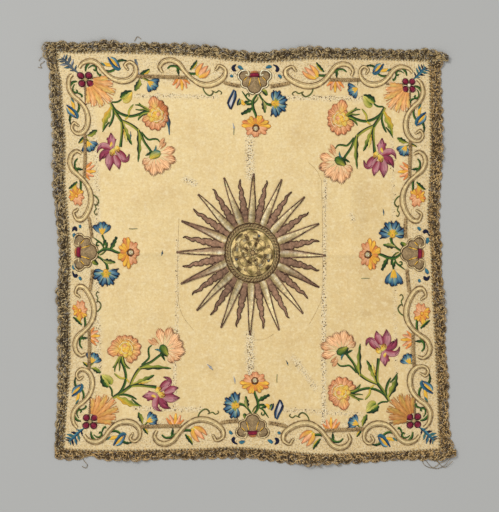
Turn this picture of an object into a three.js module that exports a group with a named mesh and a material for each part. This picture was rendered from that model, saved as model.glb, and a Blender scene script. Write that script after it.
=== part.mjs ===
// A square silk chalice veil, lying flat and a little uneven, face up.
// Lengths are millimetres. +X is the veil's right and +Y its top edge.
// +Z comes out of its face, and it lies on Z = 0.
import * as THREE from "three";

// Driving dimensions
const silkThickness = 1.2;
const laceThickness = 1.8;
const seatGap = 0.3; // clear space between two pieces that are sewn together
const fanPitch = 12.6; // one scallop of the lace
const fanDepth = 3.4; // how far a scallop stands out past its notch
const fanSteps = 3; // outline points for each scallop
const coarseCell = 20; // silk mesh spacing on open ground
const fineCell = 8.5; // silk mesh spacing across the creases

// The veil as it was cut, before it stretched: the silk inside the lace
const cutWidth = 490;
const cutHeight = 520;

// The whole veil is moved by this, so that its outline is centred on the origin
const outlineCentre = { x: 1.25, y: -1.2 };

// Where the corners of the silk lie today
const silkCorners = {
  topLeft: [-250.8, 264],
  topRight: [238.3, 252.1],
  bottomLeft: [-242.9, -260],
  bottomRight: [253.4, -260],
};

// The four edges of the silk today. along runs 0 to 1, left to right or top to bottom.
// out: how far the edge bows away from the middle of the veil, from the straight line between its corners.
// slide: how far the cloth has crept along the edge. reach: the width of the lace outside the edge.
const edges = {
  top: [
    { along: 0, out: 0, slide: 0, reach: 15.2 },
    { along: 0.06, out: -0.6, slide: 2, reach: 13.9 },
    { along: 0.113, out: 1.3, slide: 4, reach: 16.5 },
    { along: 0.167, out: 0.7, slide: 6, reach: 14.1 },
    { along: 0.275, out: 0.6, slide: 9.2, reach: 15.3 },
    { along: 0.383, out: -2.1, slide: 12, reach: 15.9 },
    { along: 0.437, out: -5.2, slide: 13.2, reach: 15.1 },
    { along: 0.51, out: -7, slide: 14.2, reach: 13.5 },
    { along: 0.572, out: -4.5, slide: 13.8, reach: 15.5 },
    { along: 0.65, out: -0.9, slide: 12.6, reach: 17.5 },
    { along: 0.707, out: -0.1, slide: 10.9, reach: 14.7 },
    { along: 0.815, out: 0.4, slide: 7.8, reach: 14.7 },
    { along: 0.923, out: 0.4, slide: 4.6, reach: 14.3 },
    { along: 1, out: 0, slide: 0, reach: 16.9 },
    { along: 1.03, out: 0, slide: 0, reach: 13.7 },
    { along: 1.055, out: 0, slide: 0, reach: 8.7 },
  ],
  right: [
    { along: 0, out: 0, slide: 0, reach: 21.2 },
    { along: 0.025, out: 0.7, slide: -2, reach: 16.9 },
    { along: 0.06, out: 1.1, slide: -4, reach: 15.9 },
    { along: 0.15, out: 0.3, slide: -4.4, reach: 16.3 },
    { along: 0.25, out: -0.6, slide: -4, reach: 16.7 },
    { along: 0.345, out: -4.2, slide: -3.5, reach: 15.5 },
    { along: 0.41, out: -6.8, slide: -3, reach: 16.1 },
    { along: 0.487, out: -4.3, slide: -2.6, reach: 14.6 },
    { along: 0.564, out: -4, slide: -2.4, reach: 14.7 },
    { along: 0.64, out: -3.1, slide: -2.2, reach: 16.5 },
    { along: 0.745, out: -2, slide: -2, reach: 13.5 },
    { along: 0.8, out: -1.4, slide: -1.8, reach: 15.7 },
    { along: 0.875, out: -0.7, slide: -1.6, reach: 14.1 },
    { along: 0.97, out: -0.8, slide: -0.7, reach: 16.3 },
    { along: 1, out: 0, slide: 0, reach: 20.2 },
  ],
  bottom: [
    { along: -0.025, out: 0, slide: 0, reach: 12.1 },
    { along: 0, out: 0, slide: 0, reach: 14.5 },
    { along: 0.043, out: 1.3, slide: 0, reach: 13.5 },
    { along: 0.069, out: 1.6, slide: 0, reach: 8.2 },
    { along: 0.096, out: 2, slide: 0, reach: 11.9 },
    { along: 0.16, out: 2, slide: 0.3, reach: 14.5 },
    { along: 0.255, out: 1.3, slide: 0.6, reach: 13.3 },
    { along: 0.362, out: 0, slide: 0.9, reach: 14.3 },
    { along: 0.43, out: -1.8, slide: 1.1, reach: 14.5 },
    { along: 0.495, out: -0.7, slide: 1.3, reach: 14.6 },
    { along: 0.574, out: 2.6, slide: 1.2, reach: 15.3 },
    { along: 0.65, out: 6, slide: 0.9, reach: 16.7 },
    { along: 0.707, out: 7, slide: 0.7, reach: 13.3 },
    { along: 0.787, out: 5.3, slide: 0.5, reach: 13.1 },
    { along: 0.89, out: 3.3, slide: 0, reach: 12.3 },
    { along: 0.973, out: 0.7, slide: 0, reach: 14.3 },
    { along: 1, out: 0, slide: 0, reach: 15.3 },
    { along: 1.043, out: 0, slide: 0, reach: 10.1 },
  ],
  left: [
    { along: -0.025, out: 0, slide: 0, reach: 19.2 },
    { along: 0, out: 0, slide: 0, reach: 22.2 },
    { along: 0.02, out: 0, slide: 0.2, reach: 17.2 },
    { along: 0.045, out: -0.4, slide: 0.4, reach: 12.7 },
    { along: 0.075, out: -3.3, slide: 0.6, reach: 16.1 },
    { along: 0.13, out: -4.5, slide: 1, reach: 16.5 },
    { along: 0.22, out: -7.3, slide: 1.8, reach: 16.3 },
    { along: 0.32, out: -6.1, slide: 2.4, reach: 16.5 },
    { along: 0.385, out: -8.7, slide: 2.8, reach: 17.1 },
    { along: 0.47, out: -11.4, slide: 3.3, reach: 15.9 },
    { along: 0.52, out: -11.8, slide: 3.2, reach: 14.7 },
    { along: 0.6, out: -10, slide: 2.7, reach: 17.7 },
    { along: 0.675, out: -9.8, slide: 2, reach: 15.9 },
    { along: 0.735, out: -9.9, slide: 1.6, reach: 16.9 },
    { along: 0.826, out: -7.8, slide: 0.7, reach: 15.3 },
    { along: 0.89, out: -4.4, slide: 0.2, reach: 13.5 },
    { along: 0.94, out: -2.1, slide: -0.4, reach: 12.9 },
    { along: 1, out: 0, slide: 0, reach: 13.3 },
  ],
};

// How far each length of lace runs past the silk at its start and end: four of these ends cover the corners.
const lacePast = { top: [0, 26], right: [-0.8, 0], bottom: [12, 21], left: [13, 0] };

// Soft folds and lifted places. Each is a round-ended ridge over the line from (x0, y0) to (x1, y1).
const folds = [
  { name: "middle crease, left", x0: -172, y0: 1, x1: -126, y1: 0, halfWidth: 21, height: 2.4 },
  { name: "middle crease, right", x0: 128, y0: -3, x1: 172, y1: -1, halfWidth: 22, height: 3 },
  { name: "upright crease, right", x0: 138, y0: 92, x1: 144, y1: -74, halfWidth: 20, height: 1.8 },
  { name: "crease above the sun", x0: 1, y0: 143, x1: 2, y1: 136, halfWidth: 20, height: 2 },
  { name: "crease below the sun", x0: -3, y0: -137, x1: -1, y1: -142, halfWidth: 20, height: 1.8 },
  { name: "swell under the left spray", x0: -168, y0: 62, x1: -120, y1: 78, halfWidth: 26, height: 1.6 },
  { name: "swell over the lower left", x0: -172, y0: -62, x1: -128, y1: -84, halfWidth: 26, height: 1.7 },
  { name: "swell at lower right", x0: 128, y0: -120, x1: 92, y1: -142, halfWidth: 24, height: 1.6 },
  { name: "top edge wave, left", x0: -206, y0: 288, x1: -182, y1: 287, halfWidth: 27, height: 3.2 },
  { name: "top edge wave, middle", x0: -66, y0: 282, x1: -48, y1: 280, halfWidth: 26, height: 2.4 },
  { name: "top edge wave, right", x0: 52, y0: 283, x1: 72, y1: 283, halfWidth: 28, height: 3.4 },
  { name: "right edge wave, upper", x0: 266, y0: 150, x1: 267, y1: 128, halfWidth: 26, height: 2.8 },
  { name: "right edge wave, lower", x0: 273, y0: -58, x1: 274, y1: -84, halfWidth: 26, height: 2.6 },
  { name: "left edge wave, upper", x0: -270, y0: 146, x1: -269, y1: 120, halfWidth: 26, height: 3 },
  { name: "left edge wave, lower", x0: -266, y0: -52, x1: -266, y1: -76, halfWidth: 24, height: 2.4 },
  { name: "bottom edge wave, right", x0: 80, y0: -288, x1: 108, y1: -288, halfWidth: 28, height: 3.6 },
  { name: "bottom edge wave, left", x0: -168, y0: -284, x1: -140, y1: -284, halfWidth: 25, height: 2.6 },
  { name: "top right corner, gathered", x0: 262, y0: 262, x1: 264, y1: 264, halfWidth: 28, height: 4 },
  { name: "bottom right corner, lifted", x0: 274, y0: -274, x1: 276, y1: -276, halfWidth: 26, height: 3 },
  { name: "top left corner, lifted", x0: -276, y0: 272, x1: -280, y1: 270, halfWidth: 26, height: 3 },
];

// Bands of the cut silk that get the finer mesh, because a crease crosses them
const fineAcross = [
  { from: -24, to: 24 },
  { from: 118, to: 168 },
];
const fineUp = [{ from: -26, to: 26 }];

// The height of every raised piece at its rim, over its own seat
const rimHeight = 0.6;

// The sun: straight rays and waved ones by turns, round a corded medallion
const sun = {
  x: -4.9,
  y: 0.7,
  turnDegrees: -1.7,
  widen: 0.972, // the cloth has drawn the sun in sideways
  heighten: 1.046,
  tilt: 0.027, // and has lifted its right hand side
  lift: 2.8, // the middle lies above the centre of the ray tips
  rays: 32,
  medallionRadius: 30.6,
  medallionSteps: 32,
  cordRadius: 36.8,
  cordSteps: 48,
  collarRadius: 37.4,
  notchRadius: 43,
};
const straightRay = {
  tip: 102,
  halfWidth: 5.2,
  tipHalfWidth: 0.5,
  fullness: 1, // 1 tapers evenly, and more holds the width for longer
  swing: 0,
  halfWaves: 0,
  relief: 1.6,
  steps: 3,
};
const wavedRay = {
  tip: 96,
  halfWidth: 3.8,
  tipHalfWidth: 0.35,
  fullness: 2.4,
  swing: 1.5,
  halfWaves: 4.6,
  relief: 1.2,
  steps: 8,
};
const medallionDome = 2.2;
const medallionRim = 1.1;
const cordHeight = 2.6;

// The two border scrolls of half a side, along their crest lines from the open end to the curl.
// along is measured from the middle of the side towards its corner. deep is inwards from the silk edge.
const scrollRoutes = {
  outer: [
    { along: 219, deep: 19.5, halfWidth: 1.3 },
    { along: 213.5, deep: 13, halfWidth: 2.2 },
    { along: 202.7, deep: 10.9, halfWidth: 2.9 },
    { along: 193, deep: 16.5, halfWidth: 2.7 },
    { along: 186.5, deep: 26, halfWidth: 2.4 },
    { along: 177.7, deep: 34, halfWidth: 2.8 },
    { along: 166.5, deep: 37.2, halfWidth: 3.4 },
    { along: 155.2, deep: 35, halfWidth: 3.3 },
    { along: 147, deep: 27.4, halfWidth: 2.8 },
    { along: 145.8, deep: 18, halfWidth: 2.2 },
    { along: 152, deep: 12, halfWidth: 1.8 },
    { along: 158.6, deep: 15.5, halfWidth: 1.6 },
    { along: 156.2, deep: 20.8, halfWidth: 1.2 },
  ],
  inner: [
    { along: 116.5, deep: 25.3, halfWidth: 1.2 },
    { along: 119.6, deep: 18, halfWidth: 2 },
    { along: 114.5, deep: 10.4, halfWidth: 2.7 },
    { along: 105.1, deep: 7.9, halfWidth: 3 },
    { along: 95.7, deep: 12, halfWidth: 2.8 },
    { along: 88.8, deep: 21.5, halfWidth: 2.4 },
    { along: 80.1, deep: 32, halfWidth: 2.6 },
    { along: 68.8, deep: 38.3, halfWidth: 3.3 },
    { along: 57.5, deep: 38, halfWidth: 3.4 },
    { along: 46.3, deep: 32.3, halfWidth: 3.1 },
    { along: 37.8, deep: 23.5, halfWidth: 2.6 },
    { along: 36.9, deep: 14, halfWidth: 2 },
    { along: 43.8, deep: 10.2, halfWidth: 1.6 },
    { along: 47.6, deep: 15.6, halfWidth: 1.2 },
  ],
};
const scrollSteps = 16;
const scrollRelief = 1.5;

// The couched braid that frames the veil shows between the scrolls, in these straight lengths
const braidRuns = {
  outer: { from: 86.8, to: 144.8, deep: 30.8 },
  inner: { from: 22.4, to: 39.8, deep: 33 },
};
const braid = { halfWidth: 2.1, relief: 1.3, cell: 15 };

// How far each half of a side has been worked off the even spacing, at three places along it: the
// curl by the palmette, the open end of the inner scroll, and the curl of the outer scroll
const drawnAt = [0, 22, 36, 119.6, 146, 223.5];
const drawnOut = {
  top: { left: [0.8, 0, 4], right: [5.3, 15.8, -0.8] },
  right: { lower: [8.6, 13.2, -4], upper: [4.6, 7.9, -5.3] },
  bottom: { left: [2.6, 8.7, 1.6], right: [3.2, 8.4, 0.5] },
  left: { lower: [5.3, 9.2, 0], upper: [5.7, 6.6, 1.8] },
};
// The longer sides carry the border of the shorter ones, stretched, and the left one carries it nearer its edge
const longStretch = 1.0567;
const deepShare = { top: 1, right: 1, bottom: 1, left: 0.84 };

const palmettes = {
  top: { along: 0, deep: 26.4, halfWidth: 21.2 },
  right: { along: 0, deep: 24, halfWidth: 22 },
  bottom: { along: -1.2, deep: 27.6, halfWidth: 21 },
  left: { along: 1.8, deep: 21.9, halfWidth: 23.4 },
};
const palmette = { reach: 16.8, flattened: 0.86, waist: 0.86, relief: 1.9, rimSteps: 28, lobes: 5 };
const shell = {
  inner: 15.2, side: 28.5, tip: 46.5, relief: 1.7, ribs: 6, spreadFrom: 9, spreadTo: 81, wide: 0.88, high: 0.94,
};
const quatrefoil = { petalReach: 12.2, waist: 6.6, relief: 2, rimSteps: 24 };
// How far in from the two edges of the cut silk the flower of each corner sits
const cornerInsets = {
  top_left: [31.4, 34.8],
  top_right: [31.8, 37.6],
  bottom_left: [32.2, 37.2],
  bottom_right: [32.8, 38.6],
};

const finish = {
  silk: { color: 0xe6cb94, roughness: 0.62, metalness: 0 },
  lace: { color: 0x77664b, roughness: 0.5, metalness: 0.45 },
  goldThread: { color: 0xb79a62, roughness: 0.42, metalness: 0.45 },
  paleThread: { color: 0xcdb988, roughness: 0.5, metalness: 0.2 },
  peachSilk: { color: 0xd99a63, roughness: 0.6, metalness: 0 },
  crimsonSilk: { color: 0x7e2a35, roughness: 0.6, metalness: 0 },
};

const mix = (a, b, t) => a + (b - a) * t;

// A smooth reading of a table of stations, at a place between them: a cubic whose slope at each
// station is the slope between its two neighbours.
function readTable(rows, key, value, at) {
  const last = rows.length - 1;
  const slope = (i) => {
    const low = rows[Math.max(i - 1, 0)];
    const high = rows[Math.min(i + 1, last)];
    return (high[value] - low[value]) / (high[key] - low[key]);
  };
  let i = 0;
  while (i < last - 1 && at > rows[i + 1][key]) i += 1;
  const span = rows[i + 1][key] - rows[i][key];
  const t = (at - rows[i][key]) / span;
  const rise = t * t * (3 - 2 * t);
  return (
    mix(rows[i][value], rows[i + 1][value], rise) +
    span * (slope(i) * t * (1 - t) ** 2 - slope(i + 1) * t * t * (1 - t))
  );
}

const outward = { top: [0, 1], right: [1, 0], bottom: [0, -1], left: [-1, 0] };
const sideEnds = {
  top: ["topLeft", "topRight"],
  right: ["topRight", "bottomRight"],
  bottom: ["bottomLeft", "bottomRight"],
  left: ["topLeft", "bottomLeft"],
};

// A point of one silk edge, moved outwards by extra. along may run past the ends of the edge.
function edgePoint(side, along, extra = 0) {
  const [start, end] = sideEnds[side].map((name) => silkCorners[name]);
  const run = [end[0] - start[0], end[1] - start[1]];
  const held = THREE.MathUtils.clamp(along, 0, 1);
  const out = readTable(edges[side], "along", "out", held) + extra;
  const slid = along + readTable(edges[side], "along", "slide", held) / Math.hypot(...run);
  return [0, 1].map((k) => start[k] + run[k] * slid + outward[side][k] * out);
}

// Where a point of the cut silk lies today: the four edges blended across the veil.
function lay(a, b) {
  const u = a / cutWidth + 0.5;
  const v = b / cutHeight + 0.5;
  const { topLeft, topRight, bottomLeft, bottomRight } = silkCorners;
  const top = edgePoint("top", u);
  const bottom = edgePoint("bottom", u);
  const left = edgePoint("left", 1 - v);
  const right = edgePoint("right", 1 - v);
  return [0, 1].map(
    (k) =>
      mix(bottom[k], top[k], v) +
      mix(left[k], right[k], u) -
      mix(mix(bottomLeft[k], bottomRight[k], u), mix(topLeft[k], topRight[k], u), v),
  );
}

// How high the underside stands over the table: the sum of the folds, each a raised cosine
// of the distance to its line.
function lift(x, y) {
  let height = 0;
  for (const fold of folds) {
    const dx = fold.x1 - fold.x0;
    const dy = fold.y1 - fold.y0;
    const reached = ((x - fold.x0) * dx + (y - fold.y0) * dy) / (dx * dx + dy * dy);
    const along = THREE.MathUtils.clamp(reached, 0, 1);
    const away = Math.hypot(x - fold.x0 - dx * along, y - fold.y0 - dy * along) / fold.halfWidth;
    if (away < 1) height += (fold.height * (1 + Math.cos(Math.PI * away))) / 2;
  }
  return height;
}

// Mesh lines from -length / 2 to length / 2, closer together inside the fine bands.
function meshLines(length, bands) {
  const stops = [-length / 2, ...bands.flatMap((band) => [band.from, band.to]), length / 2];
  const lines = [stops[0]];
  for (let i = 1; i < stops.length; i += 1) {
    const cell = i % 2 === 0 ? fineCell : coarseCell;
    const cells = Math.max(1, Math.round((stops[i] - stops[i - 1]) / cell));
    for (let j = 1; j <= cells; j += 1) lines.push(mix(stops[i - 1], stops[i], j / cells));
  }
  return lines;
}

const linesAcross = meshLines(cutWidth, fineAcross);
const linesUp = meshLines(cutHeight, fineUp);

// The height of the meshed underside at a point of the cut silk, read from the triangle that holds it.
function meshedLift(a, b) {
  const cellOf = (lines, at) => {
    let i = 0;
    while (i < lines.length - 2 && at > lines[i + 1]) i += 1;
    return [i, (at - lines[i]) / (lines[i + 1] - lines[i])];
  };
  const [i, s] = cellOf(linesAcross, a);
  const [j, t] = cellOf(linesUp, b);
  const at = (di, dj) => lift(...lay(linesAcross[i + di], linesUp[j + dj]));
  if (s >= t) return at(0, 0) + s * (at(1, 0) - at(0, 0)) + t * (at(1, 1) - at(1, 0));
  return at(0, 0) + t * (at(0, 1) - at(0, 0)) + s * (at(1, 1) - at(0, 1));
}

// A closed solid over a flat layout: its upper and lower faces share the layout's triangles,
// and a wall closes each edge that only one triangle has.
function solidOver(points, triangles) {
  const count = points.length;
  const positions = new Float32Array(count * 6);
  points.forEach(([x, y, low, high], i) => {
    positions.set([x, y, high], i * 3);
    positions.set([x, y, low], (count + i) * 3);
  });
  const faces = [];
  const edges = new Set(triangles.flatMap(([p, q, r]) => [`${p} ${q}`, `${q} ${r}`, `${r} ${p}`]));
  for (const [p, q, r] of triangles) {
    faces.push(p, q, r, count + r, count + q, count + p);
    for (const [from, to] of [[p, q], [q, r], [r, p]]) {
      if (!edges.has(`${to} ${from}`)) faces.push(from, count + from, to, to, count + from, count + to);
    }
  }
  const position = new THREE.BufferAttribute(positions, 3);
  return new THREE.BufferGeometry().setAttribute("position", position).setIndex(faces);
}

// Triangles of a grid of rows by columns, points numbered row by row, facing up when the columns
// run to the right and the rows run up.
function gridTriangles(rows, columns) {
  const triangles = [];
  for (let j = 0; j < rows - 1; j += 1) {
    for (let i = 0; i < columns - 1; i += 1) {
      const near = j * columns + i;
      const far = near + columns;
      triangles.push([near, near + 1, far + 1], [near, far + 1, far]);
    }
  }
  return triangles;
}

function makeSilk() {
  const points = linesUp.flatMap((b) =>
    linesAcross.map((a) => {
      const [x, y] = lay(a, b);
      const low = lift(x, y);
      return [x, y, low, low + silkThickness];
    }),
  );
  return solidOver(points, gridTriangles(linesUp.length, linesAcross.length));
}

// A point of a raised piece, at a place on the cut silk. over is its height over its own seat.
function raisedPoint(a, b, over) {
  const seat = meshedLift(a, b) + silkThickness + seatGap;
  return [...lay(a, b), seat, seat + over];
}

// Triangles in the order that makes them face up, whichever way the layout was turned or mirrored.
function facingUp(points, triangles) {
  const [p, q, r] = triangles[0].map((i) => points[i]);
  const turn = (q[0] - p[0]) * (r[1] - p[1]) - (q[1] - p[1]) * (r[0] - p[0]);
  return turn > 0 ? triangles : triangles.map(([i, j, k]) => [i, k, j]);
}

function raisedSolid(points, triangles) {
  return solidOver(points, facingUp(points, triangles));
}

// One length of lace: a footing beside the silk edge, and scallops on the free side.
function makeLace(side) {
  const across = side === "top" || side === "bottom";
  const lines = across ? linesAcross : linesUp;
  const length = across ? cutWidth : cutHeight;
  const from = -lacePast[side][0] / length;
  const to = 1 + lacePast[side][1] / length;
  const seams = lines.map((line) => (across ? 0.5 + line / length : 0.5 - line / length));
  if (!across) seams.reverse();
  const stations = [from, ...seams.filter((along) => along > from && along < to), to];
  const inner = stations.map((along) => edgePoint(side, along, seatGap));
  const fans = Math.round(((to - from) * length) / fanPitch);
  const outer = Array.from({ length: fans * fanSteps + 1 }, (_, i) => {
    const along = mix(from, to, i / (fans * fanSteps));
    const bulge = Math.sin((Math.PI * (i % fanSteps)) / fanSteps);
    return edgePoint(side, along, readTable(edges[side], "along", "reach", along) - fanDepth * (1 - bulge));
  });
  const outline = [...inner, ...outer.reverse()];
  const triangles = THREE.ShapeUtils.triangulateShape(outline.map(([x, y]) => new THREE.Vector2(x, y)), []);
  const points = outline.map(([x, y]) => [x, y, lift(x, y), lift(x, y) + laceThickness]);
  return raisedSolid(points, triangles);
}

// A point of the sun, from its angle and radius.
function sunPoint(angle, radius, over) {
  const turned = angle + THREE.MathUtils.degToRad(sun.turnDegrees);
  return raisedPoint(
    sun.x + sun.widen * radius * Math.cos(turned),
    sun.y + sun.heighten * radius * Math.sin(turned) + sun.tilt * radius * Math.cos(turned) +
      sun.lift * (1 - (radius / 102) ** 2),
    over,
  );
}

// The half width and crest height of one ray at a radius, and how far it has swung sideways.
// Straight rays taper evenly, and waved ones swing from side to side as they taper.
function raySection(kind, radius) {
  const t = (radius - sun.notchRadius) / (kind.tip - sun.notchRadius);
  return {
    half: kind.halfWidth * (1 - t ** kind.fullness) + kind.tipHalfWidth,
    swing: kind.swing * Math.sin(t * Math.PI * kind.halfWaves) * mix(0.35, 1, t),
    over: kind.relief * (1 - 0.4 * t),
  };
}

// The sunburst: a narrow collar with every ray growing out of it. Between two rays the collar
// ends in a notch.
function makeSunburst() {
  const rays = sun.rays;
  const turn = (2 * Math.PI) / rays;
  const points = [];
  const triangles = [];
  const add = (...point) => points.push(sunPoint(...point)) - 1;
  const around = (count, place) => Array.from({ length: count }, (_, i) => place(i));
  const collar = around(rays * 2, (i) => add(((i - 1) * turn) / 2, sun.collarRadius, rimHeight));
  const notches = around(rays, (i) => add((i + 0.5) * turn, sun.notchRadius, rimHeight));
  for (let ray = 0; ray < rays; ray += 1) {
    const centre = ray * turn;
    const kind = ray % 2 === 1 ? wavedRay : straightRay;
    const [low, middle, high] = [0, 1, 2].map((i) => collar[(2 * ray + i) % (rays * 2)]);
    let row = [notches[(ray + rays - 1) % rays], add(centre, sun.notchRadius, kind.relief), notches[ray]];
    triangles.push([low, row[0], row[1]], [low, row[1], middle]);
    triangles.push([middle, row[1], row[2]], [middle, row[2], high]);
    for (let i = 1; i < kind.steps; i += 1) {
      const radius = mix(sun.notchRadius, kind.tip, i / kind.steps);
      const { half, swing, over } = raySection(kind, radius);
      const next = [[-half, rimHeight], [0, over], [half, rimHeight]].map(([side, height]) =>
        add(centre + (swing + side) / radius, radius, height),
      );
      for (const column of [0, 1]) {
        const [p, q, r, s] = [row[column], next[column], next[column + 1], row[column + 1]];
        triangles.push([p, q, r], [p, r, s]);
      }
      row = next;
    }
    const point = add(centre, kind.tip, rimHeight);
    triangles.push([row[0], point, row[1]], [row[1], point, row[2]]);
  }
  return raisedSolid(points, triangles);
}

// Rings of points round a centre, joined to it and to each other.
// place(turn, share) gives the point at a share of the way out, and turn runs 0 to 1 round it.
function domeLayout(place, steps, shares) {
  const points = [place(0, 0)];
  const triangles = [];
  shares.forEach((share, ring) => {
    for (let i = 0; i < steps; i += 1) {
      const next = (i + 1) % steps;
      points.push(place(i / steps, share));
      const [here, there] = [1 + ring * steps + i, 1 + ring * steps + next];
      if (ring === 0) triangles.push([0, here, there]);
      else triangles.push([here - steps, here, there], [here - steps, there, there - steps]);
    }
  });
  return raisedSolid(points, triangles);
}

function makeMedallion() {
  const place = (turn, share) =>
    sunPoint(turn * 2 * Math.PI, sun.medallionRadius * share, mix(medallionDome, medallionRim, share ** 3));
  return domeLayout(place, sun.medallionSteps, [0.5, 0.86, 1]);
}

// The cord round the medallion, highest along its middle.
function makeMedallionCord() {
  const inner = sun.medallionRadius + seatGap;
  const columns = [
    { radius: inner, over: rimHeight },
    { radius: (inner + sun.cordRadius) / 2, over: cordHeight },
    { radius: sun.cordRadius, over: rimHeight },
  ];
  const points = [];
  const triangles = [];
  for (let i = 0; i < sun.cordSteps; i += 1) {
    const angle = (i / sun.cordSteps) * 2 * Math.PI;
    for (const { radius, over } of columns) points.push(sunPoint(angle, radius, over));
    const here = i * columns.length;
    const next = ((i + 1) % sun.cordSteps) * columns.length;
    for (const c of [0, 1]) {
      triangles.push([here + c, here + c + 1, next + c + 1], [here + c, next + c + 1, next + c]);
    }
  }
  return raisedSolid(points, triangles);
}

// A point of the cut silk, from a side of the veil: along from the middle of that side, deep in
// from its edge. hand is 1 or -1, for the two halves of the side.
function fromSide(side, hand, along, deep) {
  const across = side === "top" || side === "bottom";
  const from = hand * along;
  const half = from < 0 ? drawnOut[side][across ? "left" : "lower"] : drawnOut[side][across ? "right" : "upper"];
  const stretch = across ? 1 : longStretch;
  const shifts = [0, 0, ...half, 0];
  const stations = drawnAt.map((at, i) => ({ at, drawn: at * stretch + shifts[i] }));
  const drawn = Math.sign(from) * readTable(stations, "at", "drawn", Math.abs(from));
  if (across) return [drawn, outward[side][1] * (cutHeight / 2 - deep)];
  return [outward[side][0] * (cutWidth / 2 - deep * deepShare[side]), drawn];
}

// One border scroll: a padded band that tapers into a curl at each end, highest along its middle.
function makeScroll(side, hand, route) {
  const rows = route.map((row, at) => ({ ...row, at }));
  const last = rows.length - 1;
  const read = (value, at) => readTable(rows, "at", value, THREE.MathUtils.clamp(at, 0, last));
  const points = [];
  for (let step = 0; step <= scrollSteps; step += 1) {
    const at = (step / scrollSteps) * last;
    const nearby = 0.05;
    const heading = Math.atan2(
      read("deep", at + nearby) - read("deep", at - nearby),
      read("along", at + nearby) - read("along", at - nearby),
    );
    const half = read("halfWidth", at);
    for (const [offset, over] of [[-half, rimHeight], [0, scrollRelief], [half, rimHeight]]) {
      const along = read("along", at) - offset * Math.sin(heading);
      const deep = read("deep", at) + offset * Math.cos(heading);
      points.push(raisedPoint(...fromSide(side, hand, along, deep), over));
    }
  }
  return raisedSolid(points, gridTriangles(scrollSteps + 1, 3));
}

// A straight length of the framing braid, highest along its middle.
function makeBraid(side, hand, { from, to, deep }) {
  const steps = Math.ceil((to - from) / braid.cell);
  const columns = [[-braid.halfWidth, rimHeight], [0, braid.relief], [braid.halfWidth, rimHeight]];
  const points = Array.from({ length: steps + 1 }, (_, i) => mix(from, to, i / steps)).flatMap((along) =>
    columns.map(([offset, over]) => raisedPoint(...fromSide(side, hand, along, deep + offset), over)),
  );
  return raisedSolid(points, gridTriangles(steps + 1, 3));
}

// The palmette at the middle of a side: lobes round a fan, flattened towards the silk edge.
function makePalmette(side) {
  const place = (turn, share) => {
    const angle = turn * 2 * Math.PI;
    const lobe = mix(palmette.waist, 1, Math.abs(Math.cos((angle * palmette.lobes) / 2)));
    const along = palmettes[side].along + palmettes[side].halfWidth * lobe * share * Math.sin(angle);
    const reach = (palmette.reach / deepShare[side]) * (Math.cos(angle) < 0 ? palmette.flattened : 1);
    const deep = palmettes[side].deep + reach * lobe * share * Math.cos(angle);
    return raisedPoint(...fromSide(side, 1, along, deep), mix(palmette.relief, rimHeight, share ** 2));
  };
  return domeLayout(place, palmette.rimSteps, [0.6, 1]);
}

// The direction from a corner of the cut silk towards its middle.
const cornerHands = {
  top_left: [1, -1],
  top_right: [-1, -1],
  bottom_left: [1, 1],
  bottom_right: [-1, 1],
};

function fromCorner(corner, right, up) {
  const [handX, handY] = cornerHands[corner];
  const [insetX, insetY] = cornerInsets[corner];
  return [-handX * (cutWidth / 2 - insetX) + handX * right, -handY * (cutHeight / 2 - insetY) + handY * up];
}

// The corner shell: a quarter fan with a raised rib down the middle of each flute.
function makeShell(corner) {
  const columns = shell.ribs * 2 + 1;
  const shares = [0, 0.45, 0.85, 1];
  const points = shares.flatMap((share) =>
    Array.from({ length: columns }, (_, i) => {
      const angle = THREE.MathUtils.degToRad(mix(shell.spreadFrom, shell.spreadTo, i / (columns - 1)));
      const rib = i % 2 === 1;
      const outer = mix(shell.side, shell.tip, Math.sin(angle * 2)) * (rib ? 1 : 0.93);
      const radius = mix(shell.inner, outer, share);
      const over = rib ? mix(shell.relief, shell.relief / 2, share) : rimHeight;
      const right = radius * Math.cos(angle) * shell.wide;
      const up = radius * Math.sin(angle) * shell.high;
      return raisedPoint(...fromCorner(corner, right, up), over);
    }),
  );
  return raisedSolid(points, gridTriangles(shares.length, columns));
}

// The four-petalled flower at the root of the shell.
function makeQuatrefoil(corner) {
  const place = (turn, share) => {
    const angle = turn * 2 * Math.PI;
    const petal = Math.abs(Math.sin(angle * 2)) ** 0.7;
    const radius = mix(quatrefoil.waist, quatrefoil.petalReach, petal) * share;
    const over = mix(quatrefoil.relief, rimHeight, share ** 2);
    return raisedPoint(...fromCorner(corner, radius * Math.cos(angle), radius * Math.sin(angle)), over);
  };
  return domeLayout(place, quatrefoil.rimSteps, [0.6, 1]);
}

const veil = new THREE.Group();

function addPiece(name, geometry, look) {
  const mesh = new THREE.Mesh(geometry, new THREE.MeshStandardMaterial(look));
  mesh.name = name;
  veil.add(mesh);
}

addPiece("silk_ground", makeSilk(), finish.silk);

const sides = ["top", "right", "bottom", "left"];
for (const side of sides) addPiece(`lace_${side}`, makeLace(side), finish.lace);

addPiece("sunburst", makeSunburst(), finish.goldThread);
addPiece("medallion", makeMedallion(), finish.goldThread);
addPiece("medallion_cord", makeMedallionCord(), finish.goldThread);

for (const side of sides) {
  addPiece(`palmette_${side}`, makePalmette(side), finish.goldThread);
  for (const [half, hand] of [["a", -1], ["b", 1]]) {
    for (const place of ["inner", "outer"]) {
      const name = `${side}_${half}_${place}`;
      addPiece(`scroll_${name}`, makeScroll(side, hand, scrollRoutes[place]), finish.paleThread);
      addPiece(`braid_${name}`, makeBraid(side, hand, braidRuns[place]), finish.goldThread);
    }
  }
}

for (const corner of Object.keys(cornerHands)) {
  addPiece(`shell_${corner}`, makeShell(corner), finish.peachSilk);
  addPiece(`quatrefoil_${corner}`, makeQuatrefoil(corner), finish.crimsonSilk);
}

veil.position.set(-outlineCentre.x, -outlineCentre.y, 0);

export default veil;
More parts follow.
